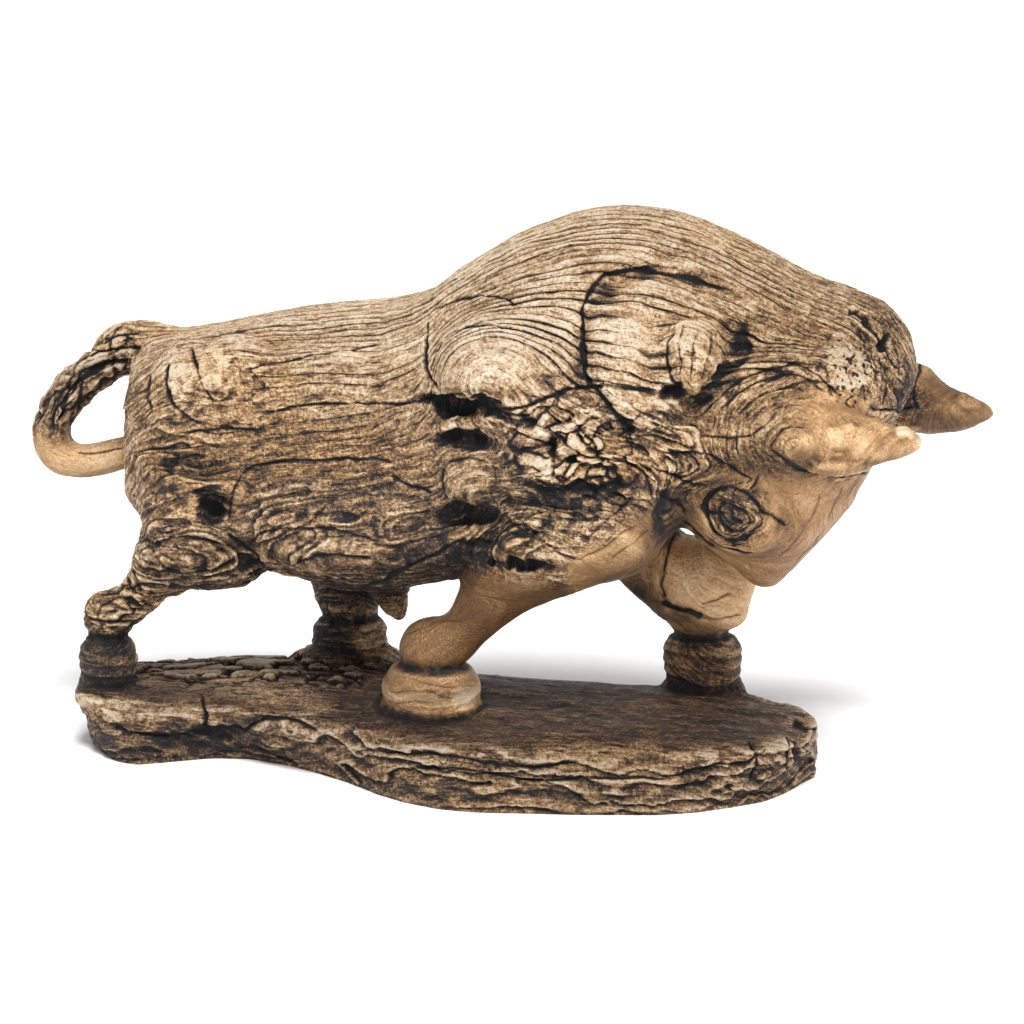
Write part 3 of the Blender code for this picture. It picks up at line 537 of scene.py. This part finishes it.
def grain(p, kind):
    """Which growth ring a place lies on, counted in rings."""
    x, y, z = p.T
    down = np.interp(x, *np.array(BACK_LINE, float).T) - z
    level = np.interp(x, *np.array(BELLY_LINE, float).T) - z
    down = down + (level - down) * ramp(down, 5, 75)
    body = down * 0.86 + np.abs(y) * 0.72
    for kx, ky, kz, spread, pull in KNOTS:
        away = (x - kx) ** 2 + 0.6 * (y - ky) ** 2 + (z - kz) ** 2
        rear = ramp(x, kx - 1.7 * spread, kx - 1.0 * spread)
        above = ramp(z, kz - 1.5 * spread, kz - 0.5 * spread)
        body = body + pull * rear * above * np.exp(-away / (2 * spread ** 2))

    # The cheek's rings run round its knot, and those over the horn run round its root.
    u, v = x - CHEEK_RINGS[0], z - CHEEK_RINGS[1]
    about = np.exp(-(u ** 2 + v ** 2) / 400)
    lean = u + 0.45 * v + 5 * about * noise(p, (9, 9, 8), 15)
    cheek = np.sqrt(lean ** 2 + (v * 1.05 + 4 * about * noise(p, (8, 8, 7), 16)) ** 2 + 4)
    u, v = x - HORN_ROOT[0], z - HORN_ROOT[1]
    crown = np.sqrt(u ** 2 + (v * 1.2) ** 2 + 4)
    low = ramp(z - 0.25 * (x - 90), 130, 116) * ramp(x, 56, 66)
    over = 0.8 * ramp(np.hypot(u, (v - 3) * 1.3), 44, 26) * ramp(x, 62, 74) * ramp(np.abs(y), 6, 18)
    ring = body * (1 - low) + (cheek + 40) * low
    ring = ring * (1 - over) + (crown + 30) * over

    legs = ramp(z, 84, 70) * ramp(x, 52, 44)
    lengthwise = (0.72 * x - 0.70 * z) * kind["leg"] + 0.9 * z * (1 - kind["leg"])
    ring = ring * (1 - legs) + (lengthwise + 0.5 * np.abs(y)) * legs
    ring = ring * (1 - kind["plinth"]) + (0.95 * z + 0.55 * y) * kind["plinth"]
    ring = np.where(kind["tail"] > 0.5, kind["tail_turn"], ring)
    ring = ring + 2.6 * noise(p, (70, 30, 26), 3) + 1.1 * noise(p, (24, 9, 8), 5) + 0.35 * noise(p, (7, 3.5, 3), 7)
    return ring / PITCH


def with_grain(p, ring, size, seed, stretch=0.15):
    """Noise in streaks that lie along the grain; size is their width in millimetres."""
    q = np.stack([p[:, 0] * stretch, ring * PITCH, (p[:, 1] + p[:, 2]) * stretch], 1)
    return fractal(q, (size, size, size), seed, 2)


def steps(value, edge):
    """Flat steps with short slopes between them, as torn wood fibres leave."""
    whole = np.floor(value)
    return whole + ramp(value - whole, 0.5 - edge, 0.5 + edge)


def cracks(p, bent, facing):
    """The splits: how far a place lies beside the nearest one, in half widths, its strength, its depth and its halo."""
    gap, strength, depth, halo = np.full(len(p), 20.0), np.zeros(len(p)), np.zeros(len(p)), np.zeros(len(p))
    breadth = np.maximum(0.95 + 0.55 * noise(p, (6, 5, 5), 27) + 0.35 * noise(p, (2.2, 2, 2), 28), 0.3)
    broken = ramp(noise(p, (7, 5, 5), 29), -0.75, -0.15)
    near = ramp(facing @ AWAY, 0.02, 0.25)
    far = ramp(facing[:, 1], 0.1, 0.4)
    flat = np.stack([MIDDLE[0] + bent[:, 0] / PIXEL, MIDDLE[1] - (bent[:, 2] - TARGET[2]) / PIXEL], 1)
    sides = ((seen(p + 0.45 * (bent - p)), near, SPLITS), (flat, far, FAR_SPLITS))
    for view, share, rows in sides:
        for width, deep, path in rows:
            low, high = np.min(path, 0) - 9 * width, np.max(path, 0) + 9 * width
            at = np.flatnonzero(((view > low) & (view < high)).all(1) & (share > 0))
            least, along, out, way = to_path(view[at], rounded(path))
            ends = share[at] * (0.2 + 0.8 * ramp(along, 0, 0.15) * ramp(along, 1, 0.85)) * (0.45 + 0.55 * broken[at])
            beside = np.sign(out[:, 0] * way[:, 1] - out[:, 1] * way[:, 0]) * least / (width * breadth[at])
            away = np.abs(beside)
            closer = away < np.abs(gap[at])
            gap[at] = np.where(closer, beside, gap[at])
            strength[at] = np.where(closer, ends * ramp(away, 6, 3) * min(1, 0.12 + 0.6 * deep), strength[at])
            broad = np.maximum(width, 1.6) / width
            depth[at] = np.maximum(depth[at], deep * ends * np.exp(-(away / broad) ** 2))
            halo[at] = np.maximum(halo[at], ends * ramp(width, 0.6, 3.4) * np.exp(-(away / 2.8) ** 2))
    return np.clip(gap, -20, 20), strength, depth, halo


def line_strength(p, ring, kind):
    """How strongly the grain line beside a place is cut: most on the hump and back, and not the same on each line."""
    high = ramp(p[:, 2], 138, 165) * (1 - kind["head"] * 0.3)
    index = np.floor(ring).astype(np.int64)
    vary = 0.78 + 0.55 * lattice(index, 0 * index, 0 * index, 9)
    fade = np.clip(0.55 + 0.50 * high + (0.85 - 0.40 * high) * noise(p, (26, 7, 7), 11)
                   + (0.45 - 0.2 * high) * noise(p, (8, 3, 3), 12), 0.03, 1.25)
    share = 0.60 * kind["rough"] + 0.14 * kind["smooth"] + 0.30 * kind["plinth"]
    return vary * fade * share * (0.45 + 1.10 * high) * (1 - 0.80 * ball(p, *BOSS, 2.0))


def torn_fibres(p, bent, ring, kind, sunk):
    """Height of the torn, stepped wood."""
    torn = 0.22 * kind["rough"] + 0.5 * np.minimum(sunk, 1)
    for *place, extra in TORN:
        torn = torn + extra * ball(p, *place, 1.2)
    torn = torn * kind["rough"] + 0.9 * kind["tail"] * ramp(p[:, 2], 114, 126)
    leaf = 2.6 * with_grain(bent, ring, 5.5, 31, 0.22)
    torn = torn * (1.3 * (steps(leaf, 0.10) - leaf) + fractal(bent, (9, 8, 6), 41))
    return torn + 0.40 * kind["rough"] * with_grain(bent, ring, 3.0, 44)


def plinth_ground(p, bent, ring, kind):
    """Height of the plinth's bark, in a few long plates with stepped edges, and of the grain on its top."""
    band = 1.9 * fractal(bent, (60, 16, 11), 51) + 0.10 * p[:, 2]
    bark = (steps(band, 0.07) - band) * 2.0 + 0.45 * fractal(bent, (16, 6, 2.6), 55)
    wild = ramp(p[:, 0], -66, -100) * kind["face"]
    top = 0.9 * fractal(bent, (26, 9, 6), 61) + 0.3 * with_grain(bent, ring, 2.5, 65)
    ground = kind["face"] * bark * (1 - 0.5 * wild) + kind["top"] * top
    return ground + wild * 2.2 * fractal(bent, (20, 12, 8), 68)


def broken_ground(p, bent, kind, crag):
    """Blocks on the shoulder, loose flakes at the plinth's rear and strips on the tail: height and black chinks."""
    layered = 0.85 * kind["tail"] * ramp(p[:, 2], 110, 122)
    broken = crag + 1.1 * kind["rear"] + layered
    twisted = bent + shift(p, 3.0, (9, 6, 6), 87)
    strips = np.stack([kind["tail_run"], kind["tail_turn"], 0 * p[:, 0]], 1) + 1.2 * (bent - p)
    edge, level = np.ones(len(p)), np.zeros(len(p))
    for share, place, size, seed in ((crag, twisted, (9.5, 8, 5.2), 81), (kind["rear"], twisted, (19, 6.5, 7), 81),
                                     (layered, strips, (21, 6.5, 40), 85)):
        at = np.flatnonzero(share > 0.02)
        edge[at], level[at] = blocks(place[at], size, seed)
    chinks = broken * np.exp(-(edge / 0.10) ** 2) * ramp(noise(p, (8, 6, 6), 83), -0.9, -0.2)
    return 1.1 * broken * level + 1.2 * kind["rear"], chinks


def hoof_form(p, bent, kind):
    """Height of the hooves' barrels, feet and ledges, and the black necks over and under them."""
    x, y, z = p.T
    neck, barrel, foot = np.zeros((3, len(p)))
    for hx, hy, top, reach in HOOVES:
        close = ramp(np.hypot(x - hx, y - hy), reach + 4, reach + 1)
        neck = np.maximum(neck, close * np.exp(-((z - top - 1.0) / 1.7) ** 2))
        neck = np.maximum(neck, 0.5 * close * np.exp(-((z - 27.0) / 1.3) ** 2))
        barrel = np.maximum(barrel, close * ramp(z, top + 1.2, top - 2.0) * ramp(z, 27, 35))
        foot = np.maximum(foot, close * np.exp(-((z - 29.0) / 2.6) ** 2))
    # The black necks are broken into vertical streaks in the relief and in the colour; the lighter streaks stand partly
    # for painted glints.
    neck = neck * (0.75 + 0.6 * noise(p, (1.8, 1.8, 6), 75))
    near_hoof = np.abs(x - NEAR_HOOF[0]) < 24
    height = barrel * np.where(near_hoof, 1.9, 0.5) - foot * np.where(near_hoof, 0.7, 0.3)
    ledge = z / 4.0 + 0.5 * noise(bent, (14, 14, 5), 77)
    return height + 0.7 * kind["worn"] * (steps(ledge, 0.12) - ledge), neck


def relief(p, facing, kind, ring):
    """Height of the carving over the plain form in millimetres, its black hollows, its lines and its splits."""
    bent = p + shift(p, 1.9, (11, 8, 8), 21) + shift(p, 0.9, (3.4, 3, 3), 24)
    view = seen(p + 0.7 * (bent - p)) + shift(p, 2.2, (2.4, 1.8, 1.8), 17, 2) + shift(p, 3.5, (6, 3, 3), 19, 2)
    near = ramp(facing @ AWAY, 0.02, 0.25)
    sunk, lumps, crag = [near * marked(view, rows, power)
                         for rows, power in ((HOLLOWS, 1.8), (LUMPS, 2.5), (CRAGS, 1.5))]
    gap, strength, split, halo = cracks(p, bent, facing)

    line = line_strength(p, ring, kind) * (1 - 0.6 * crag)
    for px, py, a, b, tilt in CALM:
        line = line * (1 - 0.75 * near * oval(view, px, py, a, b, tilt, 3.0))
    groove = line * np.exp(-((ring - np.floor(ring) - 0.5) / 0.13) ** 2)

    ground, chinks = broken_ground(p, bent, kind, crag)
    hooves, neck = hoof_form(p, bent, kind)
    pitted = 0.15 * kind["rough"] + 0.25 * near * oval(view, 848, 368, 30, 34) + 0.15 * kind["face"]
    pits = pitted * ramp(noise(bent, (2.8, 2.8, 2.8), 71), 0.20, 0.50)
    height = torn_fibres(p, bent, ring, kind, sunk) + plinth_ground(p, bent, ring, kind) + ground + hooves
    height = height + lumps - groove - pits - 0.6 * neck - 0.75 * split - sunk - 1.5 * chinks
    height = height + 0.45 * kind["rough"] * fractal(bent, (14, 7, 6), 91, 2)
    height = height + 0.25 * kind["smooth"] * with_grain(p, ring, 3, 93)
    height = height + 1.3 * kind["horn"] * fractal(p, (12, 9, 9), 95, 2)
    deep = sunk + 0.5 * split + 2.2 * neck + 1.6 * chinks + pits
    deep = deep + 0.8 * halo * ramp(fractal(bent, (4, 2.5, 2.5), 79), -0.35, 0.35)
    return np.clip(height, DEEPEST, HIGHEST), np.minimum(deep, 2.2), line, gap, strength


def paint(skin, plain, facing, kind, height, deep):
    """The fields of the paint. What stands out from its surroundings keeps the bronze; what lies low stays black. Light
    is painted in too: a painted highlight on the hump and back and on the near fore hoof, and painted shade on faces
    that look down and low on the sides.
    """
    x, y, z = plain.T
    near = ramp(facing @ AWAY, 0.0, 0.25)
    view = seen(plain + shift(plain, 2.5, (12, 9, 9), 105))
    near_level = skin.spread(height, 20)
    fine = height - near_level
    broad = height - skin.spread(near_level, 110)
    form = ((plain - skin.spread(plain, 60)) * facing).sum(1)
    # Stains where the black ground shows, with a painted shadow, a painted glint and a painted highlight among them.
    stain_and_painted_light = marked(view, STAINS_AND_PAINTED_LIGHT, 1.2, np.add) * near * (0.90 + 1.1 * fractal(plain, (10, 5, 4), 103))
    patches = fractal(plain, (26, 14, 12), 101)
    # Painted top light: the hump and back are painted brighter and paler, a painted highlight from above.
    high = ramp(z, 132, 160) * ramp(x, 112, 60)
    # Painted shade: faces that look down are darker.
    painted_underside_shade = ramp(facing[:, 2], -0.1, -0.8)
    # Painted shade: the rough sides are darker low down.
    painted_low_side_shade = ramp(z, 145, 118) * kind["rough"]
    gilt = kind["plinth"] * np.minimum(oval(view, 282, 698, 66, 14, 14) + oval(view, 116, 700, 34, 7), 1)
    gilt = gilt * near + 0.5 * kind["rear"]

    bias = 0.35 * broad + 0.55 * form - 0.55 * deep - 0.42 * stain_and_painted_light + 0.34 * patches + 0.42 * high - 0.30 * painted_underside_shade
    bias = bias - 0.22 * painted_low_side_shade + 0.45 * gilt + sum(more * kind[part] for part, more in MORE_BRONZE.items())
    bias = bias + (kind["plinth"] - kind["top"]) * (0.16 * ramp(z, 14, 19) - 0.24 * ramp(z, 13, 6))
    # A painted highlight on the right side of the near fore hoof.
    bias = np.maximum(bias + 0.45 * oval(view, 464, 700, 13, 17) * kind["hoof"], -1.3)

    shade = 1 - sum(less * kind[part] for part, less in DARKER.items()) - 0.45 * kind["horn"] * ramp(y, 10, 24)
    shade = shade - 0.15 * ramp(z, 96, 78) * (1 - kind["plinth"]) + 0.10 * high + 0.34 * gilt
    grit = 1 - 0.84 * kind["smooth"] - 0.15 * high * (1 - kind["head"])
    warm = kind["smooth"] + 0.6 * kind["head"] + 1.3 * ramp(fractal(plain, (44, 22, 20), 111), 0.0, 0.5)
    warm = np.minimum(warm, 1) * (1 - 0.5 * kind["plinth"])
    pitted = np.minimum(oval(view, 846, 370, 30, 34) + 0.5 * oval(view, 888, 350, 26, 44), 1)
    pitted = pitted * ramp(facing @ AWAY, 0.0, 0.2)
    return {"fine": fine, "bias": bias, "shade": shade, "grit": grit, "pitted": pitted, "warm": warm}


def carve(made):
    """Carves the fine skin, and works out what its material needs to know at each point."""
    skin = Skin(made.data)
    grounded = skin.p[:, 2] < 0.35
    skin.p = skin.spread(skin.p, 14)
    skin.soften(ball(skin.p, *CHEST_FOLD, 1.0), 400)
    facing = skin.normals()
    plain = skin.p.copy()
    kind = kinds(plain)
    ring = grain(plain, kind)
    height, deep, line, gap, split = relief(plain, facing, kind, ring)
    height = height * ramp(plain[:, 2], 0.2, 2.2)
    skin.p = plain + facing * height[:, None]
    skin.p[:, 2] = np.where(grounded, 0.0, np.maximum(skin.p[:, 2], 0.0))
    lowest = np.array(cad_low) * 1000 - SHIFT + [MARGIN, MARGIN, 0.0]
    skin.p = np.clip(skin.p, lowest, np.array(cad_high) * 1000 - SHIFT - MARGIN)
    skin.store()
    fields = paint(skin, plain, facing, kind, height, deep)
    return skin, {"ring": ring, "line": line, "gap": gap, "split": split, **fields}


def thin(made, skin, fields):
    """Thins the mesh to its budget and carries the fields over to the points that are left."""
    tree = kdtree.KDTree(len(skin.p))
    for n, place in enumerate(((skin.p + SHIFT) / 1000).tolist()):
        tree.insert(place, n)
    tree.balance()
    step = made.modifiers.new("thin", "DECIMATE")
    step.ratio = min(1.0, MOST_TRIANGLES / (2 * len(made.data.polygons)))
    settle(made)
    mesh = made.data
    nearest = np.array([tree.find(v.co)[1] for v in mesh.vertices])
    for v in mesh.vertices:
        v.co.z = max(v.co.z, 0.0)
    for name, value in fields.items():
        layer = mesh.attributes.new(name, "FLOAT", "POINT")
        layer.data.foreach_set("value", value[nearest].astype(np.float32))
    mesh.shade_smooth()


# Materials.

class Nodes:
    """Short ways to wire a material."""

    def __init__(self, name):
        self.material = bpy.data.materials.new(name)
        self.material.use_nodes = True
        self.tree = self.material.node_tree
        self.shader = self.tree.nodes["Principled BSDF"]

    def put(self, kind, **settings):
        made = self.tree.nodes.new(kind)
        for key, value in settings.items():
            setattr(made, key, value)
        return made

    def feed(self, socket, value):
        if isinstance(value, bpy.types.NodeSocket):
            self.tree.links.new(value, socket)
        else:
            socket.default_value = value

    def math(self, operation, *values, clamp=False):
        made = self.put("ShaderNodeMath", operation=operation, use_clamp=clamp)
        for socket, value in zip(made.inputs, values):
            self.feed(socket, value)
        return made.outputs[0]

    def ramp(self, value, low, high, to_low=0.0, to_high=1.0):
        made = self.put("ShaderNodeMapRange", interpolation_type="SMOOTHSTEP")
        for socket, v in zip(made.inputs, (value, low, high, to_low, to_high)):
            self.feed(socket, v)
        return made.outputs[0]

    def field(self, name):
        return self.put("ShaderNodeAttribute", attribute_name=name).outputs["Fac"]

    def mix(self, share, a, b):
        made = self.put("ShaderNodeMix", data_type="RGBA")
        self.feed(made.inputs[0], share)
        self.feed(made.inputs[6], a)
        self.feed(made.inputs[7], b)
        return made.outputs[2]

    def noise(self, where, scale, detail=2.0, rough=0.55, stretch=(1, 1, 1)):
        turn = self.put("ShaderNodeMapping")
        self.feed(turn.inputs["Vector"], where)
        turn.inputs["Scale"].default_value = stretch
        made = self.put("ShaderNodeTexNoise")
        self.feed(made.inputs["Vector"], turn.outputs[0])
        made.inputs["Scale"].default_value = scale
        made.inputs["Detail"].default_value = detail
        made.inputs["Roughness"].default_value = rough
        return made.outputs["Fac"]


def bronze():
    n = Nodes("bronze_over_black")
    place = n.put("ShaderNodeTexCoord").outputs["Object"]
    ring, line, fine, bias, shade, grit, gap, split, warm, pitted = [n.field(name) for name in (
        "ring", "line", "fine", "bias", "shade", "grit", "gap", "split", "warm", "pitted")]

    # Streaks run with the grain: the ring number is one coordinate, and the others are squeezed.
    parts = n.put("ShaderNodeSeparateXYZ")
    n.feed(parts.inputs[0], place)
    squeezed = n.put("ShaderNodeCombineXYZ")
    n.feed(squeezed.inputs[0], n.math("MULTIPLY", parts.outputs[0], 0.14))
    n.feed(squeezed.inputs[1], n.math("MULTIPLY", ring, PITCH / 1000))
    n.feed(squeezed.inputs[2], n.math("MULTIPLY", n.math("ADD", parts.outputs[1], parts.outputs[2]), 0.14))
    streaks = squeezed.outputs[0]
    fibre = n.noise(streaks, 560, 4.0, 0.65)
    thread = n.noise(streaks, 1600, 2.0, 0.6)
    sand = n.noise(place, 820, 3.0, 0.70)
    dust = n.noise(place, 2600, 1.5, 0.6)
    cloud = n.noise(place, 60, 3.0, 0.6)

    def about(value, size):
        return n.math("MULTIPLY", n.math("SUBTRACT", value, 0.5), size)

    def mottled(*sizes):
        """Fibre, sand, thread and dust together, each as strong as its size, scaled by the grit."""
        total = 0.0
        for value, size in zip((fibre, sand, thread, dust), sizes):
            total = n.math("ADD", total, about(value, size))
        return n.math("MULTIPLY", total, n.math("MULTIPLY_ADD", grit, 0.85, 0.15))

    def from_middle(value):
        """How far a number of rings is from the middle between two whole ones."""
        return n.math("ABSOLUTE", n.math("SUBTRACT", n.math("FRACT", value), 0.5))

    # What is cut into the paint: grain lines, hairlines between them, splits, dashes and pinholes.
    off = from_middle(n.math("ADD", ring, n.math("ADD", about(sand, 0.25), about(fibre, 0.20))))
    edge = n.math("MULTIPLY_ADD", line, 0.12, 0.03)
    groove = n.math("SUBTRACT", 1.0, n.ramp(off, n.math("MULTIPLY", line, 0.03), edge))
    groove = n.math("MULTIPLY", groove, n.ramp(n.math("ADD", line, about(thread, 0.6)), 0.10, 0.36))
    off = from_middle(n.math("MULTIPLY_ADD", ring, 2.0, about(fibre, 1.8)))
    hair = n.math("SUBTRACT", 1.0, n.ramp(off, 0.02, 0.15))
    hair = n.math("MULTIPLY", hair, n.ramp(n.math("ADD", line, about(fibre, 2.6)), 0.25, 0.60))
    ragged = n.math("ADD", gap, n.math("ADD", about(sand, 1.3), about(fibre, 1.0)))
    crack = n.math("MULTIPLY", split, n.ramp(n.math("ABSOLUTE", ragged), 1.15, 0.35))
    dash = n.math("MULTIPLY", n.ramp(n.noise(streaks, 900, 2.0, 0.5), 0.56, 0.70), grit)
    hole = n.math("MULTIPLY", n.ramp(n.noise(place, 520, 1.0, 0.4), 0.57, 0.63), pitted)
    # Each with how much bronze it takes off, and how deep the bump makes it.
    cuts = ((groove, 1.00, 0.65), (hair, 0.40, 0.28), (crack, 1.35, 0.8), (dash, 0.75, 0.4), (hole, 1.8, 0.7))

    # Bronze stays on what stands proud; grooves, pits and hollows keep the black ground.
    height = n.math("ADD", n.math("MULTIPLY_ADD", fine, 1.15, bias), mottled(2.4, 3.2, 1.8, 1.9))
    raised = mottled(2.0, 2.8, 1.0, 0.6)
    for cut, darker, deeper in cuts:
        height = n.math("MULTIPLY_ADD", cut, -darker, height)
        raised = n.math("MULTIPLY_ADD", cut, -deeper, raised)
    height = n.math("ADD", height, 0.12)
    gold = n.ramp(height, -0.70, 0.30)

    # From the bare ground through rubbed brown to full bronze. The last stop's near-white cream is partly bright bronze
    # and partly a painted highlight.
    stops = n.put("ShaderNodeValToRGB")
    n.feed(stops.inputs[0], n.math("MULTIPLY_ADD", height, 1 / 2.6, 1.5 / 2.6, clamp=True))
    line_up = stops.color_ramp.elements
    line_up[0].position, line_up[0].color = 0.0, (0.010, 0.011, 0.013, 1)
    line_up[1].position, line_up[1].color = 1.0, (0.940, 0.810, 0.640, 1)
    for position, colour in ((0.22, (0.030, 0.023, 0.022, 1)), (0.42, (0.140, 0.088, 0.055, 1)),
                             (0.60, (0.400, 0.242, 0.122, 1)), (0.78, (0.710, 0.495, 0.290, 1))):
        line_up.new(position).color = colour
    dull = n.mix(warm, (0.20, 0.165, 0.14, 1), (0.20, 0.125, 0.07, 1))
    full = n.mix(warm, (1, 1, 1, 1), (1, 0.94, 0.84, 1))
    dim = n.put("ShaderNodeMix", data_type="RGBA", blend_type="MULTIPLY")
    for socket, value in zip((dim.inputs[0], dim.inputs[6], dim.inputs[7]),
                             (1.0, stops.outputs[0], n.mix(shade, dull, full))):
        n.feed(socket, value)
    n.feed(n.shader.inputs["Base Color"], dim.outputs[2])
    n.feed(n.shader.inputs["Metallic"], n.math("MULTIPLY", gold, 0.55))
    rough = n.math("ADD", n.math("MULTIPLY_ADD", gold, -0.16, 0.56), about(cloud, 0.25))
    n.feed(n.shader.inputs["Roughness"], n.math("ADD", rough, about(sand, 0.40)))
    n.shader.inputs["Specular IOR Level"].default_value = 0.3
    bump = n.put("ShaderNodeBump")
    bump.inputs["Strength"].default_value = 1.0
    bump.inputs["Distance"].default_value = 0.001
    n.feed(bump.inputs["Height"], raised)
    n.feed(n.shader.inputs["Normal"], bump.outputs[0])
    return n.material


def plain(name, colour, rough):
    n = Nodes(name)
    n.shader.inputs["Base Color"].default_value = colour
    n.shader.inputs["Roughness"].default_value = rough
    return n.material


# The piece.

bull = fine_skin()
skin, fields = carve(bull)
thin(bull, skin, fields)
bull.data.materials.clear()
bull.data.materials.append(bronze())
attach(bull, "root")
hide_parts("bull_statuette")

# Floor, light and camera.

FLOOR_REACH = 6.0   # metres
floor_mesh = bpy.data.meshes.new("floor")
corners = [(x * FLOOR_REACH, y * FLOOR_REACH, 0) for x, y in ((-1, -1), (1, -1), (1, 1), (-1, 1))]
floor_mesh.from_pydata(corners, [], [(0, 1, 2, 3)])
floor = bpy.data.objects.new("floor", floor_mesh)
bpy.context.scene.collection.objects.link(floor)
floor.data.materials.append(plain("pale_floor", (0.86, 0.86, 0.86, 1), 0.9))

world = bpy.data.worlds.new("studio")
world.use_nodes = True
world.node_tree.nodes["Background"].inputs[0].default_value = (1, 1, 1, 1)
world.node_tree.nodes["Background"].inputs[1].default_value = 0.60
bpy.context.scene.world = world


def sun(name, side, height, strength, spread):
    """A soft sun, so many degrees round from the front and above the floor."""
    light = bpy.data.lights.new(name, "SUN")
    light.energy = strength
    light.angle = math.radians(spread)
    made = bpy.data.objects.new(name, light)
    s, h = math.radians(side), math.radians(height)
    toward = Vector((math.sin(s) * math.cos(h), -math.cos(s) * math.cos(h), math.sin(h)))
    made.rotation_euler = toward.to_track_quat("Z", "Y").to_euler()
    bpy.context.scene.collection.objects.link(made)


sun("key", 22, 58, 4.0, 18)
sun("front", 45, 14, 0.8, 40)

data = bpy.data.cameras.new("camera")
data.sensor_width = SENSOR
data.lens = SENSOR * (DISTANCE / PIXEL) / FRAME
data.shift_y = (MIDDLE[1] - FRAME / 2) / FRAME
camera = bpy.data.objects.new("camera", data)
camera.location = Vector((TARGET + SHIFT + AWAY * DISTANCE) / 1000)
camera.rotation_euler = Vector(-AWAY).to_track_quat("-Z", "Y").to_euler()
bpy.context.scene.collection.objects.link(camera)
bpy.context.scene.camera = camera
bpy.context.scene.view_settings.view_transform = "Standard"
